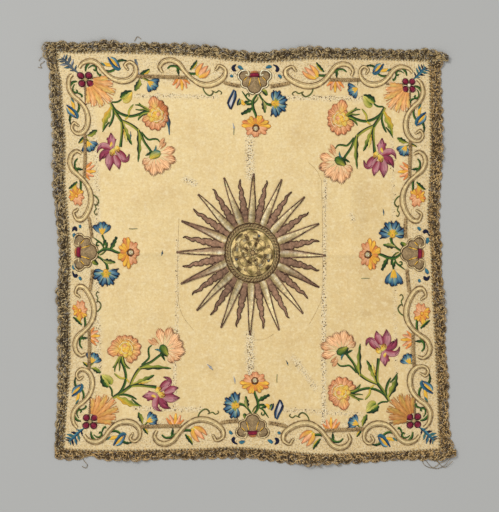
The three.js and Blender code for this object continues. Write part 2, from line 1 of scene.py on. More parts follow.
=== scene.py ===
"""A square silk chalice veil, lying flat: silk ground, metal lace, padded sun, scroll border and flowers.

Lengths are millimetres in the tables and shape functions, and metres in the mesh. +X is the veil's
right, +Y its top edge and +Z comes out of its face, as in the part's own source.
"""

import bpy
import numpy as np
from bpy.props import FloatProperty, FloatVectorProperty, PointerProperty
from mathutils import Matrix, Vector


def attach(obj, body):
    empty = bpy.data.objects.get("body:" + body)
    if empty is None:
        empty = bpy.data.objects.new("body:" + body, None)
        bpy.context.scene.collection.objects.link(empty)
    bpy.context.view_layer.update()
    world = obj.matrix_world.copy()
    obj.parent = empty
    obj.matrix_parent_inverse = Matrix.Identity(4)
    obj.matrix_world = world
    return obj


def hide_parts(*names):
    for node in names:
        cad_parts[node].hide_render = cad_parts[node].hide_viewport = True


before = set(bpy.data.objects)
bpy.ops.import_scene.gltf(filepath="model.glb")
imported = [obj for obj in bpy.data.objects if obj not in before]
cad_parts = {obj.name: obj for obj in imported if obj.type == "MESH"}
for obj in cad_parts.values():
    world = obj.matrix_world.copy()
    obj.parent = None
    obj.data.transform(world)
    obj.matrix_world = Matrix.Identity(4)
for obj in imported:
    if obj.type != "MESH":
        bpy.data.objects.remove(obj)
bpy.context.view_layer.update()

bl_info = {
    "name": "Chalice Veil",
    "version": (1, 0, 0),
    "blender": (4, 5, 0),
    "location": "View3D > Sidebar > Veil",
    "description": "Builds an embroidered silk chalice veil edged with metal lace",
    "category": "Add Mesh",
}

# The cut silk and its place on the table, as in the part's source
CUT_WIDTH, CUT_HEIGHT = 490.0, 520.0
OUTLINE_CENTRE = np.array([1.25, -1.2])
SEAT_GAP = 0.3
MM_IN_METRE = 1000

CORNERS = {
    "top_left": np.array([-250.8, 264.0]),
    "top_right": np.array([238.3, 252.1]),
    "bottom_left": np.array([-242.9, -260.0]),
    "bottom_right": np.array([253.4, -260.0]),
}

# The four edges today. Columns: along (0 to 1, left to right or top to bottom), out, slide, reach
EDGES = {
    "top": np.array([
        (0, 0, 0, 15.2), (0.06, -0.6, 2, 13.9), (0.113, 1.3, 4, 16.5), (0.167, 0.7, 6, 14.1),
        (0.275, 0.6, 9.2, 15.3), (0.383, -2.1, 12, 15.9), (0.437, -5.2, 13.2, 15.1), (0.51, -7, 14.2, 13.5),
        (0.572, -4.5, 13.8, 15.5), (0.65, -0.9, 12.6, 17.5), (0.707, -0.1, 10.9, 14.7), (0.815, 0.4, 7.8, 14.7),
        (0.923, 0.4, 4.6, 14.3), (1, 0, 0, 16.9), (1.03, 0, 0, 13.7), (1.055, 0, 0, 8.7),
    ]),
    "right": np.array([
        (0, 0, 0, 21.2), (0.025, 0.7, -2, 16.9), (0.06, 1.1, -4, 15.9), (0.15, 0.3, -4.4, 16.3),
        (0.25, -0.6, -4, 16.7), (0.345, -4.2, -3.5, 15.5), (0.41, -6.8, -3, 16.1), (0.487, -4.3, -2.6, 14.6),
        (0.564, -4, -2.4, 14.7), (0.64, -3.1, -2.2, 16.5), (0.745, -2, -2, 13.5), (0.8, -1.4, -1.8, 15.7),
        (0.875, -0.7, -1.6, 14.1), (0.97, -0.8, -0.7, 16.3), (1, 0, 0, 20.2),
    ]),
    "bottom": np.array([
        (-0.025, 0, 0, 12.1), (0, 0, 0, 14.5), (0.043, 1.3, 0, 13.5), (0.069, 1.6, 0, 8.2), (0.096, 2, 0, 11.9),
        (0.16, 2, 0.3, 14.5), (0.255, 1.3, 0.6, 13.3), (0.362, 0, 0.9, 14.3), (0.43, -1.8, 1.1, 14.5),
        (0.495, -0.7, 1.3, 14.6), (0.574, 2.6, 1.2, 15.3), (0.65, 6, 0.9, 16.7), (0.707, 7, 0.7, 13.3),
        (0.787, 5.3, 0.5, 13.1), (0.89, 3.3, 0, 12.3), (0.973, 0.7, 0, 14.3), (1, 0, 0, 15.3), (1.043, 0, 0, 10.1),
    ]),
    "left": np.array([
        (-0.025, 0, 0, 19.2), (0, 0, 0, 22.2), (0.02, 0, 0.2, 17.2), (0.045, -0.4, 0.4, 12.7),
        (0.075, -3.3, 0.6, 16.1), (0.13, -4.5, 1, 16.5), (0.22, -7.3, 1.8, 16.3), (0.32, -6.1, 2.4, 16.5),
        (0.385, -8.7, 2.8, 17.1), (0.47, -11.4, 3.3, 15.9), (0.52, -11.8, 3.2, 14.7), (0.6, -10, 2.7, 17.7),
        (0.675, -9.8, 2, 15.9), (0.735, -9.9, 1.6, 16.9), (0.826, -7.8, 0.7, 15.3), (0.89, -4.4, 0.2, 13.5),
        (0.94, -2.1, -0.4, 12.9), (1, 0, 0, 13.3),
    ]),
}
LACE_PAST = {"top": (0, 26), "right": (-0.8, 0), "bottom": (12, 21), "left": (13, 0)}

# Soft folds. Columns: x0, y0, x1, y1, half width, height
FOLDS = np.array([
    (-172, 1, -126, 0, 21, 2.4), (128, -3, 172, -1, 22, 3), (138, 92, 144, -74, 20, 1.8), (1, 143, 2, 136, 20, 2),
    (-3, -137, -1, -142, 20, 1.8), (-168, 62, -120, 78, 26, 1.6), (-172, -62, -128, -84, 26, 1.7),
    (128, -120, 92, -142, 24, 1.6), (-206, 288, -182, 287, 27, 3.2), (-66, 282, -48, 280, 26, 2.4),
    (52, 283, 72, 283, 28, 3.4), (266, 150, 267, 128, 26, 2.8), (273, -58, 274, -84, 26, 2.6),
    (-270, 146, -269, 120, 26, 3), (-266, -52, -266, -76, 24, 2.4), (80, -288, 108, -288, 28, 3.6),
    (-168, -284, -140, -284, 25, 2.6), (262, 262, 264, 264, 28, 4), (274, -274, 276, -276, 26, 3),
    (-276, 272, -280, 270, 26, 3),
])

# Narrow creases and puckers pressed into the silk. Columns as in FOLDS
CREASES = np.array([
    (-160, -1, -92, -2, 4.6, 1.3), (-205, 1, -165, 0, 5, 0.7), (100, -4, 152, -3, 4.8, 1.5),
    (-92, 12, -91, -150, 4.2, 0.55),
    (91, 110, 90, 52, 4.2, 0.8), (130, -24, 131, -78, 4.4, 0.8), (103, 48, 101, -200, 4.2, 0.4),
    (2.6, 152, 3, 104, 4.2, 0.5),
    (2, -110, 2.6, -165, 4.2, 0.5), (136, 79, 138, 20, 4.4, 0.5), (-150, 100, -118, 30, 6, 0.5),
    (-86, -84, -60, -112, 4.4, 0.6),
    (82, -96, 60, -116, 4.4, 0.6), (-205, 30, -176, -40, 6, 0.5), (196, 60, 188, -60, 6, 0.5),
    (-60, 196, 70, 192, 6, 0.5),
    (-40, -196, 96, -204, 6, 0.55), (150, 150, 120, 196, 6, 0.45), (-120, 150, -70, 176, 6, 0.4),
    (20, -150, 70, -176, 6, 0.45),
])

SUN = {"x": -4.9, "y": 0.7, "turn": -1.7, "widen": 0.972, "heighten": 1.046, "tilt": 0.027, "lift": 2.8, "rays": 32}
MEDALLION_RADIUS, CORD_RADIUS, NOTCH_RADIUS = 30.6, 36.8, 43.0
STRAIGHT_TIP, WAVED_TIP = 102.0, 96.0

# The border scrolls of half a side. Columns: along from the middle of the side, deep, half width
SCROLLS = {
    "outer": np.array([
        (219, 19.5, 1.3), (213.5, 13, 2.2), (202.7, 10.9, 2.9), (193, 16.5, 2.7), (186.5, 26, 2.4),
        (177.7, 34, 2.8), (166.5, 37.2, 3.4), (155.2, 35, 3.3), (147, 27.4, 2.8), (145.8, 18, 2.2),
        (152, 12, 1.8), (158.6, 15.5, 1.6), (156.2, 20.8, 1.2),
    ]),
    "inner": np.array([
        (116.5, 25.3, 1.2), (119.6, 18, 2), (114.5, 10.4, 2.7), (105.1, 7.9, 3), (95.7, 12, 2.8),
        (88.8, 21.5, 2.4), (80.1, 32, 2.6), (68.8, 38.3, 3.3), (57.5, 38, 3.4), (46.3, 32.3, 3.1),
        (37.8, 23.5, 2.6), (36.9, 14, 2), (43.8, 10.2, 1.6), (47.6, 15.6, 1.2),
    ]),
}
BRAIDS = {"outer": (86.8, 144.8, 30.8), "inner": (22.4, 39.8, 33.0)}  # from, to, deep
# Where the palmette of each side sits: along from the middle, deep
PALMETTES = {"top": (0, 26.4), "right": (0, 24), "bottom": (-1.2, 27.6), "left": (1.8, 21.9)}
UPRIGHT_STRETCH = 1.078  # the palmettes of the left and right sides are worked a little longer
SHELL_WIDE, SHELL_HIGH = 0.88, 0.94
# How far each half of a side has been worked off the even spacing, at the stations of DRAWN_AT
DRAWN_AT = np.array([0, 22, 36, 119.6, 146, 223.5])
DRAWN_OUT = {
    ("top", -1): (0, 0, 0.8, 0, 4, 0), ("top", 1): (0, 0, 5.3, 15.8, -0.8, 0),
    ("right", -1): (0, 0, 8.6, 13.2, -4, 0), ("right", 1): (0, 0, 4.6, 7.9, -5.3, 0),
    ("bottom", -1): (0, 0, 2.6, 8.7, 1.6, 0), ("bottom", 1): (0, 0, 3.2, 8.4, 0.5, 0),
    ("left", -1): (0, 0, 5.3, 9.2, 0, 0), ("left", 1): (0, 0, 5.7, 6.6, 1.8, 0),
}
# The long sides' spacing against the short ones', and how near its edge each border sits
STRETCH = {"top": 1.0, "right": 1.0567, "bottom": 1.0, "left": 1.0567}
DEEP_SHARE = {"top": 1.0, "right": 1.0, "bottom": 1.0, "left": 0.84}
# How far in from the two edges of the cut silk the flower of each corner sits, and where its spray starts
INSETS = {"top_left": (31.4, 34.8), "top_right": (31.8, 37.6), "bottom_left": (32.2, 37.2),
          "bottom_right": (32.8, 38.6)}
SPRAY_ROOT = (33.5, 36.5)
HANDS = {"top_left": (1, -1), "top_right": (-1, -1), "bottom_left": (1, 1), "bottom_right": (-1, 1)}
OUTWARD = {"top": (0, 1), "right": (1, 0), "bottom": (0, -1), "left": (-1, 0)}

# Thread colours, as sRGB
THREADS = {
    "dark_green": (12, 42, 20), "mid_green": (70, 108, 34), "yellow_green": (184, 178, 66),
    "yellow": (234, 190, 70), "gold": (232, 168, 48), "straw": (220, 206, 118), "peach": (234, 168, 116),
    "pale_peach": (246, 202, 152), "salmon": (210, 128, 84), "shell": (232, 168, 98), "amber": (204, 142, 76),
    "rust": (168, 96, 54),
    "orange": (228, 138, 60),
    "crimson": (136, 24, 52), "wine": (58, 8, 26), "mauve": (158, 80, 100), "pink": (206, 150, 150),
    "navy": (14, 18, 46), "blue": (42, 84, 116), "teal": (58, 116, 128), "pale_blue": (158, 190, 192),
    "grey_blue": (96, 108, 112), "slate": (70, 80, 88), "cream": (246, 224, 170), "white": (255, 246, 216),
    "lavender": (204, 200, 200), "satin": (230, 202, 144), "outline": (92, 62, 32), "tan": (184, 154, 104),
    "brown": (58, 32, 18), "flame": (148, 113, 88), "flame_dark": (64, 36, 22), "grey_gold": (178, 154, 104),
    "couched": (150, 125, 88), "olive": (142, 132, 84),
    "silk": (232, 207, 153), "seam": (206, 176, 120),
    "lace_dark": (80, 63, 40), "lace_mid": (156, 132, 90), "lace_light": (200, 172, 120), "lace_glint": (232, 208,
        156),
    "lace_grey": (154, 146, 136), "tendril": (92, 84, 44),
}

# How a stitched shape is shaded. Words: left side root and tip, right side root and tip, and the rim if it has one
SHADES = {
    "stem": "dark_green dark_green yellow_green mid_green",
    "stem_yellow": "yellow_green mid_green yellow yellow_green",
    "stem_dark": "dark_green dark_green mid_green mid_green",
    "tendril": "tendril tendril mid_green tendril",
    "leaf_split": "yellow_green mid_green dark_green dark_green",
    "leaf_gold": "yellow_green mid_green gold yellow_green",
    "leaf_gold_small": "yellow_green straw gold straw",
    "leaf_green": "mid_green dark_green dark_green dark_green",
    "leaf_two": "straw mid_green dark_green dark_green",
    "leaf_dark": "dark_green dark_green mid_green dark_green",
    "leaf_teal": "teal teal mid_green teal",
    "leaf_faded": "grey_blue lavender slate grey_blue",
    "bud_green": "mid_green yellow_green yellow_green straw",
    "bud_yellow": "yellow_green yellow straw yellow yellow",
    "bud_two": "yellow_green mid_green dark_green dark_green",
    "calyx": "yellow_green teal yellow yellow_green mid_green",
    "calyx_green": "dark_green mid_green yellow_green mid_green dark_green",
    "comma_navy": "navy navy navy navy",
    "comma_teal": "teal teal blue teal",
    "blue_line": "navy blue blue teal",
    "navy_line": "navy navy blue navy",
    "petal_yellow": "yellow gold gold yellow",
    "trumpet_pale": "blue lavender cream lavender blue",
    "throat_green": "mid_green yellow_green dark_green teal",
    "throat_yellow": "gold yellow yellow gold",
    "straw_line": "olive straw olive grey_blue",
    "hanging": "gold orange orange salmon",
    "tulip": "yellow peach gold salmon salmon",
    "iris": "crimson mauve pink pink crimson",
    "iris_dark": "crimson mauve mauve crimson wine",
    "iris_heart": "yellow gold straw yellow",
    "rose_outer": "peach peach pale_peach salmon salmon",
    "rose_rust": "orange salmon salmon rust rust",
    "rose_gold": "gold peach straw peach salmon",
    "rose_inner": "gold peach yellow straw gold",
    "rose_heart": "gold yellow yellow straw orange",
    "pink": "pale_peach peach cream pale_peach peach",
    "pink_deep": "peach pale_peach pale_peach peach pale_peach",
    "marigold_up": "gold yellow orange yellow orange",
    "marigold_down": "peach salmon pale_peach peach salmon",
    "blue_petal": "teal blue pale_blue blue navy",
    "blue_pale": "straw teal pale_blue teal blue",
    "plume": "shell shell shell pale_peach salmon",
    "plume_gold": "amber shell shell straw amber",
    "plume_line": "amber salmon amber amber",
    "plume_cream": "pale_peach cream cream white",
    "plume_light": "pale_peach cream cream cream",
    "corner_leaf": "slate slate grey_blue slate",
    "corner_leaf_blue": "teal teal navy blue",
    "rust_line": "orange rust rust rust",
    "brown_line": "outline brown brown outline",
    "braid_line": "couched couched outline couched outline",
    "crimson_bar": "crimson crimson crimson crimson wine",
    "wine_line": "wine wine crimson wine",
    "stray": "slate teal navy slate",
    "stray_grey": "lavender grey_blue grey_blue lavender",
}

# The flower tables. Each row: shade, level over the silk, and the spine as (x, y, half width)
CORNER_SPRAY = (
    ("stem", 0.3, ((30.4, 29, 1.9), (35.6, 39.6, 1.9), (42.2, 48.8, 2.1), (45.5, 54.1, 1.8))),
    ("stem_dark", 0.3, ((31.7, 30.4, 1.4), (37, 38.3, 1.6), (46.2, 44.2, 1.8), (56.8, 46.5, 1.8), (67.3, 44.2, 1.8),
                        (75.2, 40.9, 1.9), (81.8, 40.3, 2.6))),
    ("stem", 0.2, ((44.2, 50.2, 1.6), (45.7, 62, 1.8), (44.9, 75.2, 1.8), (43.6, 87.1, 2.1))),
    ("stem", 0.2, ((43.6, 51.5, 1.6), (54.1, 56.1, 1.9), (63.4, 62, 2.1), (69.3, 68.6, 1.9), (75.2, 80.5, 1.6),
                   (83.2, 91.7, 1.6))),
    ("leaf_split", 0.25, ((66.8, 63.4, 1.1), (68, 76.6, 2.6), (68.1, 92.4, 2.2), (66.8, 106.9, 0.5))),
    ("stem_dark", 0.3, ((71.3, 67.3, 1.1), (75.2, 72.6, 1.3), (80.5, 77.4, 1.3), (87.1, 76.6, 1.3),
                        (92.4, 77.2, 1.1), (95.7, 81.2, 0.6))),
    ("leaf_gold", 0.2, ((31.2, 34.3, 0.8), (27.7, 42.2, 3.4), (23.8, 50.2, 4), (21.8, 56.8, 2.1), (20.3, 64.7, 0.5))),
    ("stem_dark", 0.5, ((33.7, 35.6, 1), (34.3, 44.9, 1.4), (31.7, 54.1, 1.6), (28.4, 60.7, 0.8))),
    ("stem_dark", 0.5, ((29, 54.1, 0.8), (23.8, 60.1, 1.3), (19.8, 67.3, 0.5))),
    ("leaf_split", 0.2, ((46.9, 55.4, 0.9), (50.2, 66, 3), (54.1, 75.2, 2.8), (58.7, 84.5, 0.5))),
    ("leaf_gold_small", 0.35, ((48.2, 63.4, 0.8), (50.2, 72.6, 2.1), (52.1, 80.5, 0.5))),
    ("stem_dark", 0.2, ((32.3, 28.1, 1.1), (39.6, 27.7, 1.3), (44.9, 24.4, 1.1))),
    ("leaf_dark", 0.5, ((43.6, 22.4, 1.1), (46.9, 17.8, 2.9), (52.1, 14.8, 2.6), (58.7, 13.2, 0.5))),
    ("bud_green", 0.3, ((44.2, 23.8, 1.1), (48.8, 20.5, 2.9), (54.1, 16.5, 2.4), (58.7, 13.9, 0.5))),
    ("bud_yellow", 0.25, ((46.9, 26.4, 1.6), (51.5, 25.9, 4.1), (55.8, 21.1, 3.4), (58.9, 14.5, 0.5))),
    ("stem", 0.4, ((81.8, 38.9, 1.8), (75.2, 35, 1.6), (68.6, 31.9, 1.3), (62.7, 31.7, 0.5))),
    ("stem_dark", 0.45, ((72.6, 33.7, 1.1), (69.3, 31, 1), (68, 28.8, 0.5))),
    ("stem", 0.4, ((81.8, 40.3, 1.6), (75.2, 37.8, 1.4), (69.3, 38.3, 1.1), (63.4, 37.6, 0.5))),
    ("stem", 0.4, ((81.8, 42.2, 1.6), (73.9, 44, 1.6), (68.6, 48.2, 1.4), (66.7, 52.1, 0.5))),
    ("stem_yellow", 0.35, ((49.5, 50.8, 1), (54.1, 46.2, 1.3), (54.8, 39.6, 1.4), (58.1, 34.3, 1.3),
                           (60.7, 31, 0.6))),
    ("stem_dark", 0.3, ((82.6, 91.7, 1.4), (85.1, 94.4, 2.3), (88.4, 95, 1))),
    ("leaf_dark", 0.45, ((76.6, 98.5, 0.5), (80.5, 96.4, 1.6), (84.5, 93.7, 1.1))),
    ("leaf_teal", 0.5, ((90.4, 85.1, 0.4), (89.8, 89.8, 1.3), (87.1, 94.4, 1.1))),
    ("calyx", 0.6, ((82.6, 102.4, 1.8), (87.1, 98.3, 5.1), (92.4, 95.7, 5.3), (96.4, 94.4, 2.1))),
)
SIDE_SPRAY = (
    ("comma_navy", 0.3, ((-24.3, -20.9, 0.7), (-28, -18, 2.1), (-27.7, -14.5, 2.5), (-24.8, -12.4, 1.1))),
    ("comma_teal", 0.3, ((-21.6, -19, 1.6), (-18.5, -16.4, 2.4), (-15, -14.8, 0.5))),
    ("comma_teal", 0.3, ((-32.2, -6.6, 1.3), (-30.4, -5.5, 2), (-28.2, -5, 1.1))),
    ("comma_navy", 0.3, ((24.4, -20.6, 0.7), (29, -18.2, 1.6), (30.4, -14.5, 2.5), (28.2, -11.4, 1.6))),
    ("comma_teal", 0.3, ((15, -16.4, 1.1), (19, -18, 2.5), (22.4, -17.7, 1.3))),
    ("comma_teal", 0.3, ((31.2, -7.1, 1.3), (33.5, -5.3, 2.1), (35.1, -2.6, 1.1))),
    ("stem_dark", 0.3, ((2.9, 19.3, 1.4), (-0.5, 23.8, 1.6), (-2.6, 29, 1.9), (-1.8, 37, 1.9), (0.8, 43.6, 1.8),
                        (2.6, 49.5, 1.4))),
    ("stem_dark", 0.35, ((-2.6, 29.8, 1.4), (-6.6, 31.4, 1.6), (-10.6, 30.9, 2.1))),
    ("leaf_green", 0.3, ((-6.6, 27.1, 0.8), (-10.6, 28.8, 2.1), (-14, 29.8, 1.6))),
    ("stem", 0.25, ((4.6, 21.8, 0.8), (2.6, 26.4, 1.1), (-1.8, 31, 1))),
    ("stem_dark", 0.3, ((6.1, 18.9, 1.3), (9.9, 25.1, 1.4), (15.8, 30.9, 1.6), (22.4, 32.7, 2.1))),
    ("stem_dark", 0.3, ((-16.6, 14.3, 0.5), (-13.2, 19.3, 1), (-9.2, 24.8, 1.1), (-4, 27.7, 1))),
    ("stem_dark", 0.3, ((-10.2, 23.2, 0.8), (-11.4, 20.2, 1), (-9.2, 17.7, 1), (-7.1, 19.3, 1), (-7.7, 21.6, 0.6))),
    ("leaf_green", 0.3, ((-2.1, 36.4, 1.3), (-7.9, 39.6, 2.8), (-13.2, 42.5, 2.1), (-17.7, 44.6, 1.5))),
    ("leaf_two", 0.3, ((11.1, 25.9, 0.9), (12.4, 31.7, 3.2), (12.9, 37.5, 2.5), (13.7, 43, 0.7))),
    ("bud_two", 0.35, ((10, 13.2, 1.3), (13.2, 15.3, 3.2), (16.1, 19.8, 1.6))),
    ("trumpet_pale", 0.3, ((-26.9, 14.5, 1.3), (-28.8, 21.8, 3.8), (-30.4, 29, 4), (-31.7, 36.4, 1.3))),
    ("navy_line", 0.6, ((-27.2, 12.4, 1.2), (-30.1, 19.1, 1.6), (-33.5, 25.7, 1.7), (-35.4, 30.9, 1.5))),
    ("navy_line", 0.6, ((-25.6, 13.7, 1.1), (-25.1, 21.1, 1.5), (-27.7, 29, 1.6), (-31.2, 38.3, 0.9))),
    ("navy_line", 0.55, ((-35.1, 31.2, 1.1), (-33.5, 34.3, 1.3), (-32.2, 37.8, 0.9))),
    ("navy_line", 0.5, ((-19.8, 24, 0.8), (-21.9, 28.5, 1.5), (-22.7, 33.3, 0.7))),
    ("throat_green", 0.4, ((-21.6, 32.2, 1.1), (-19.3, 29.3, 2.4), (-18, 25.6, 1.1))),
    ("throat_yellow", 0.45, ((-12.7, 32.2, 1.3), (-16.1, 29.6, 2.5), (-16.6, 25.9, 0.8))),
    ("straw_line", 0.3, ((-27.5, 60.7, 0.4), (-27.2, 66, 0.7), (-27.5, 71.9, 0.5))),
)
BORDER_FLOWERS = (
    ("stem_dark", 0.4, ((187.7, 23.8, 1.4), (180.2, 25.3, 1.6), (175.2, 24, 1.6), (170.8, 20.6, 1))),
    ("leaf_teal", 0.5, ((190.2, 13.7, 0.4), (186.5, 16.1, 1.5), (182.7, 17.7, 0.8))),
    ("petal_yellow", 0.4, ((186.5, 15.3, 1.8), (181.4, 16.6, 2.4), (175.2, 17.7, 1.3))),
    ("blue_line", 0.55, ((180.7, 6.6, 0.8), (177.7, 11.9, 1.8), (173.7, 17.7, 2.4), (168.2, 21.6, 2.4),
                         (164.4, 20, 0.9))),
    ("petal_yellow", 0.45, ((176.9, 8.2, 0.8), (173.9, 12.1, 2.5), (169.4, 17.7, 1.6))),
    ("blue_petal", 0.55, ((176.9, 6.9, 0.9), (171.9, 9.2, 2), (168.2, 14.5, 1.7), (165.7, 19, 0.9))),
    ("leaf_dark", 0.6, ((169.4, 14, 0.9), (166.4, 10.8, 1.7), (161.4, 9.6, 1.5), (155.7, 10.8, 0.7))),
    ("stem_dark", 0.4, ((210.7, 24.3, 0.8), (209.7, 18.5, 1.6), (205.7, 13.5, 1.9), (201, 10.6, 1.6))),
    ("stem_dark", 0.45, ((207, 20.3, 0.6), (202.7, 17.4, 1), (198.2, 17.7, 1.3), (196.5, 21.1, 1.4),
                         (198.2, 23.8, 1.3), (200.2, 21.9, 0.8))),
    ("stem_dark", 0.45, ((196.2, 23.8, 0.8), (195.2, 27.7, 1.3), (192.5, 30.9, 1.3), (191.5, 28.5, 0.6))),
    ("leaf_dark", 0.5, ((142.4, 32.3, 0.7), (138.9, 27.2, 1.8), (135.1, 24.2, 2.1), (130.6, 20.7, 0.4))),
    ("leaf_gold", 0.45, ((137.1, 27.4, 0.8), (133.4, 25, 2), (130.6, 21.2, 0.4))),
    ("leaf_dark", 0.5, ((145.7, 28.5, 0.8), (142.7, 31, 2.1), (139.4, 33, 1.1))),
    ("leaf_split", 0.4, ((142.7, 34.5, 0.8), (144.4, 40.3, 3.3), (147.7, 45.7, 2.9), (149.4, 49.7, 0.5))),
    ("stem", 0.35, ((138.9, 33, 1.1), (134.5, 35.6, 1.3), (130.8, 37.6, 1.3))),
    ("leaf_faded", 0.4, ((145.7, 8.1, 1.2), (144.4, 13.9, 1.6), (142.7, 21.8, 0.9), (142.2, 28.4, 0.5))),
    ("stem_dark", 0.4, ((110.1, 19.7, 1), (105.6, 15.9, 1.4), (98.9, 16.2, 1.6), (91.3, 20.9, 1.8),
                        (82.6, 24.7, 1.8), (71.3, 24.1, 1.6))),
    ("leaf_dark", 0.5, ((98.1, 18.3, 0.8), (96.9, 22.6, 1.8), (96.6, 27.4, 0.5))),
    ("leaf_dark", 0.5, ((81.3, 19.6, 0.8), (78.1, 15.4, 2), (74.8, 10.3, 1.7), (72.3, 5.7, 0.4))),
    ("leaf_gold", 0.45, ((78.8, 18.6, 0.7), (75.1, 13.8, 1.6), (72.1, 7.7, 0.4))),
    ("leaf_dark", 0.5, ((88.8, 24.7, 0.7), (85.1, 28.3, 1.6), (80.1, 29.5, 0.5))),
    ("hanging", 0.5, ((95.9, 30.5, 1.1), (100.6, 35.1, 2.1), (105.6, 41.3, 0.8))),
    ("marigold_down", 0.45, ((95.6, 31.3, 1.1), (98.4, 38.6, 2.1), (101.4, 45.4, 0.8))),
    ("marigold_up", 0.5, ((95.1, 31.2, 1.1), (94.1, 39.1, 2.2), (93.9, 47.5, 0.9))),
    ("marigold_down", 0.45, ((94.6, 31.2, 1.1), (90.3, 38, 2.1), (88.1, 44.7, 0.8))),
    ("hanging", 0.4, ((94.4, 30.6, 1.1), (89.1, 33.9, 2), (83.8, 38.8, 0.8))),
    ("leaf_dark", 0.5, ((97.6, 28, 0.8), (95.4, 30.4, 1.7), (92.6, 32.3, 0.8))),
    ("tendril", 0.35, ((67.6, 39.1, 0.8), (66.1, 46, 0.8), (62.6, 50.7, 1), (58.3, 52.4, 1), (54.8, 49.7, 1),
                       (54.1, 46.4, 0.8), (56.1, 46, 0.6))),
    ("tendril", 0.35, ((53.8, 46.4, 0.6), (50.1, 47.7, 0.8), (46.6, 44.7, 0.8), (43, 46.8, 0.8), (44.3, 49.6, 0.6))),
)

# ---------------------------------------------------------------- the lie of the cloth


def smooth_read(stations, values, at):
    """A cubic through the values, whose slope at each station is the slope between its two neighbours."""
    stations, values, at = (np.asarray(v, float) for v in (stations, values, at))
    last = len(stations) - 1
    i = np.clip(np.searchsorted(stations[1:-1], at), 0, last - 1)
    low, high = np.maximum(np.arange(last + 1) - 1, 0), np.minimum(np.arange(last + 1) + 1, last)
    slope = (values[high] - values[low]) / (stations[high] - stations[low])
    span = stations[i + 1] - stations[i]
    t = (at - stations[i]) / span
    rise = t * t * (3 - 2 * t)
    bend = span * (slope[i] * t * (1 - t) ** 2 - slope[i + 1] * t * t * (1 - t))
    return values[i] + (values[i + 1] - values[i]) * rise + bend


def mix(a, b, t):
    return a + (b - a) * t


def edge_point(side, along, extra=0.0):
    """A point of one silk edge: the straight run between its corners, slid along, bowed out, moved out by extra."""
    ends = {"top": ("top_left", "top_right"), "right": ("top_right", "bottom_right"),
            "bottom": ("bottom_left", "bottom_right"), "left": ("top_left", "bottom_left")}[side]
    start, end = CORNERS[ends[0]], CORNERS[ends[1]]
    run, table = end - start, EDGES[side]
    held = np.clip(along, 0, 1)
    out = smooth_read(table[:, 0], table[:, 1], held) + extra
    slid = along + smooth_read(table[:, 0], table[:, 2], held) / np.hypot(*run)
    return [start[k] + run[k] * slid + OUTWARD[side][k] * out for k in (0, 1)]


def lay(a, b):
    """Where a point of the cut silk lies today: the four edges blended across the veil, less the corners."""
    u, v = np.asarray(a) / CUT_WIDTH + 0.5, np.asarray(b) / CUT_HEIGHT + 0.5
    top, bottom = edge_point("top", u), edge_point("bottom", u)
    left, right = edge_point("left", 1 - v), edge_point("right", 1 - v)
    return [
        mix(bottom[k], top[k], v) + mix(left[k], right[k], u)
        - mix(mix(CORNERS["bottom_left"][k], CORNERS["bottom_right"][k], u),
              mix(CORNERS["top_left"][k], CORNERS["top_right"][k], u), v)
        for k in (0, 1)
    ]


def unlay(x, y):
    """The point of the cut silk that lies at x, y: a guess corrected by its own error, eight times."""
    a, b = np.array(x, float), np.array(y, float)
    for _ in range(8):
        laid_x, laid_y = lay(a, b)
        a, b = a + x - laid_x, b + y - laid_y
    return a, b


def ridges(x, y, rows):
    """The sum of round-ended ridges, each a raised cosine of the distance to its line."""
    height = np.zeros(np.shape(x))
    for x0, y0, x1, y1, half, top in rows:
        dx, dy = x1 - x0, y1 - y0
        along = np.clip(((x - x0) * dx + (y - y0) * dy) / (dx * dx + dy * dy), 0, 1)
        away = np.minimum(np.hypot(x - x0 - dx * along, y - y0 - dy * along) / half, 1)
        height += top * (1 + np.cos(np.pi * away)) / 2
    return height


def waves(x, y, seed, count, longest, shortest):
    """Smooth unevenness between -1 and 1: a seeded sum of sine waves in many directions and lengths."""
    rng = np.random.default_rng(seed)
    total = np.zeros(np.shape(x))
    for _ in range(count):
        turn, phase = rng.uniform(0, 2 * np.pi, 2)
        length = np.exp(rng.uniform(np.log(shortest), np.log(longest)))
        total += np.sin(2 * np.pi * (x * np.cos(turn) + y * np.sin(turn)) / length + phase)
    return total / count


def cloth_top(x, y):
    """The height of the silk's face: the folds, the silk itself, creases and a faint ripple."""
    sizes = bpy.context.scene.veil_sizes
    ripple = sizes.ripple * (0.5 + 0.9 * waves(x, y, 7, 26, 120, 26))
    return ridges(x, y, FOLDS) + sizes.silk_thickness + np.maximum(ripple, 0) + ridges(x, y, CREASES)


class Cloth:
    """The silk's grid, kept so that every stitch can be seated on the mesh that is really there."""

    def __init__(self, across=201, up=213):
        self.a = np.linspace(-CUT_WIDTH / 2, CUT_WIDTH / 2, across)
        self.b = np.linspace(-CUT_HEIGHT / 2, CUT_HEIGHT / 2, up)
        a, b = np.meshgrid(self.a, self.b)
        self.x, self.y = lay(a, b)
        self.z = cloth_top(self.x, self.y)

    def height(self, a, b):
        """The height of the meshed silk at a point of the cut, blended between the four grid points round it."""
        s = np.clip((np.asarray(a) - self.a[0]) / (self.a[1] - self.a[0]), 0, len(self.a) - 1.001)
        t = np.clip((np.asarray(b) - self.b[0]) / (self.b[1] - self.b[0]), 0, len(self.b) - 1.001)
        i, j = s.astype(int), t.astype(int)
        s, t = s - i, t - j
        z = self.z
        return mix(mix(z[j, i], z[j, i + 1], s), mix(z[j + 1, i], z[j + 1, i + 1], s), t)


CLOTH = {}


def cloth():
    if "veil" not in CLOTH:
        CLOTH["veil"] = Cloth()
    return CLOTH["veil"]


# ---------------------------------------------------------------- where motifs go on the cut silk


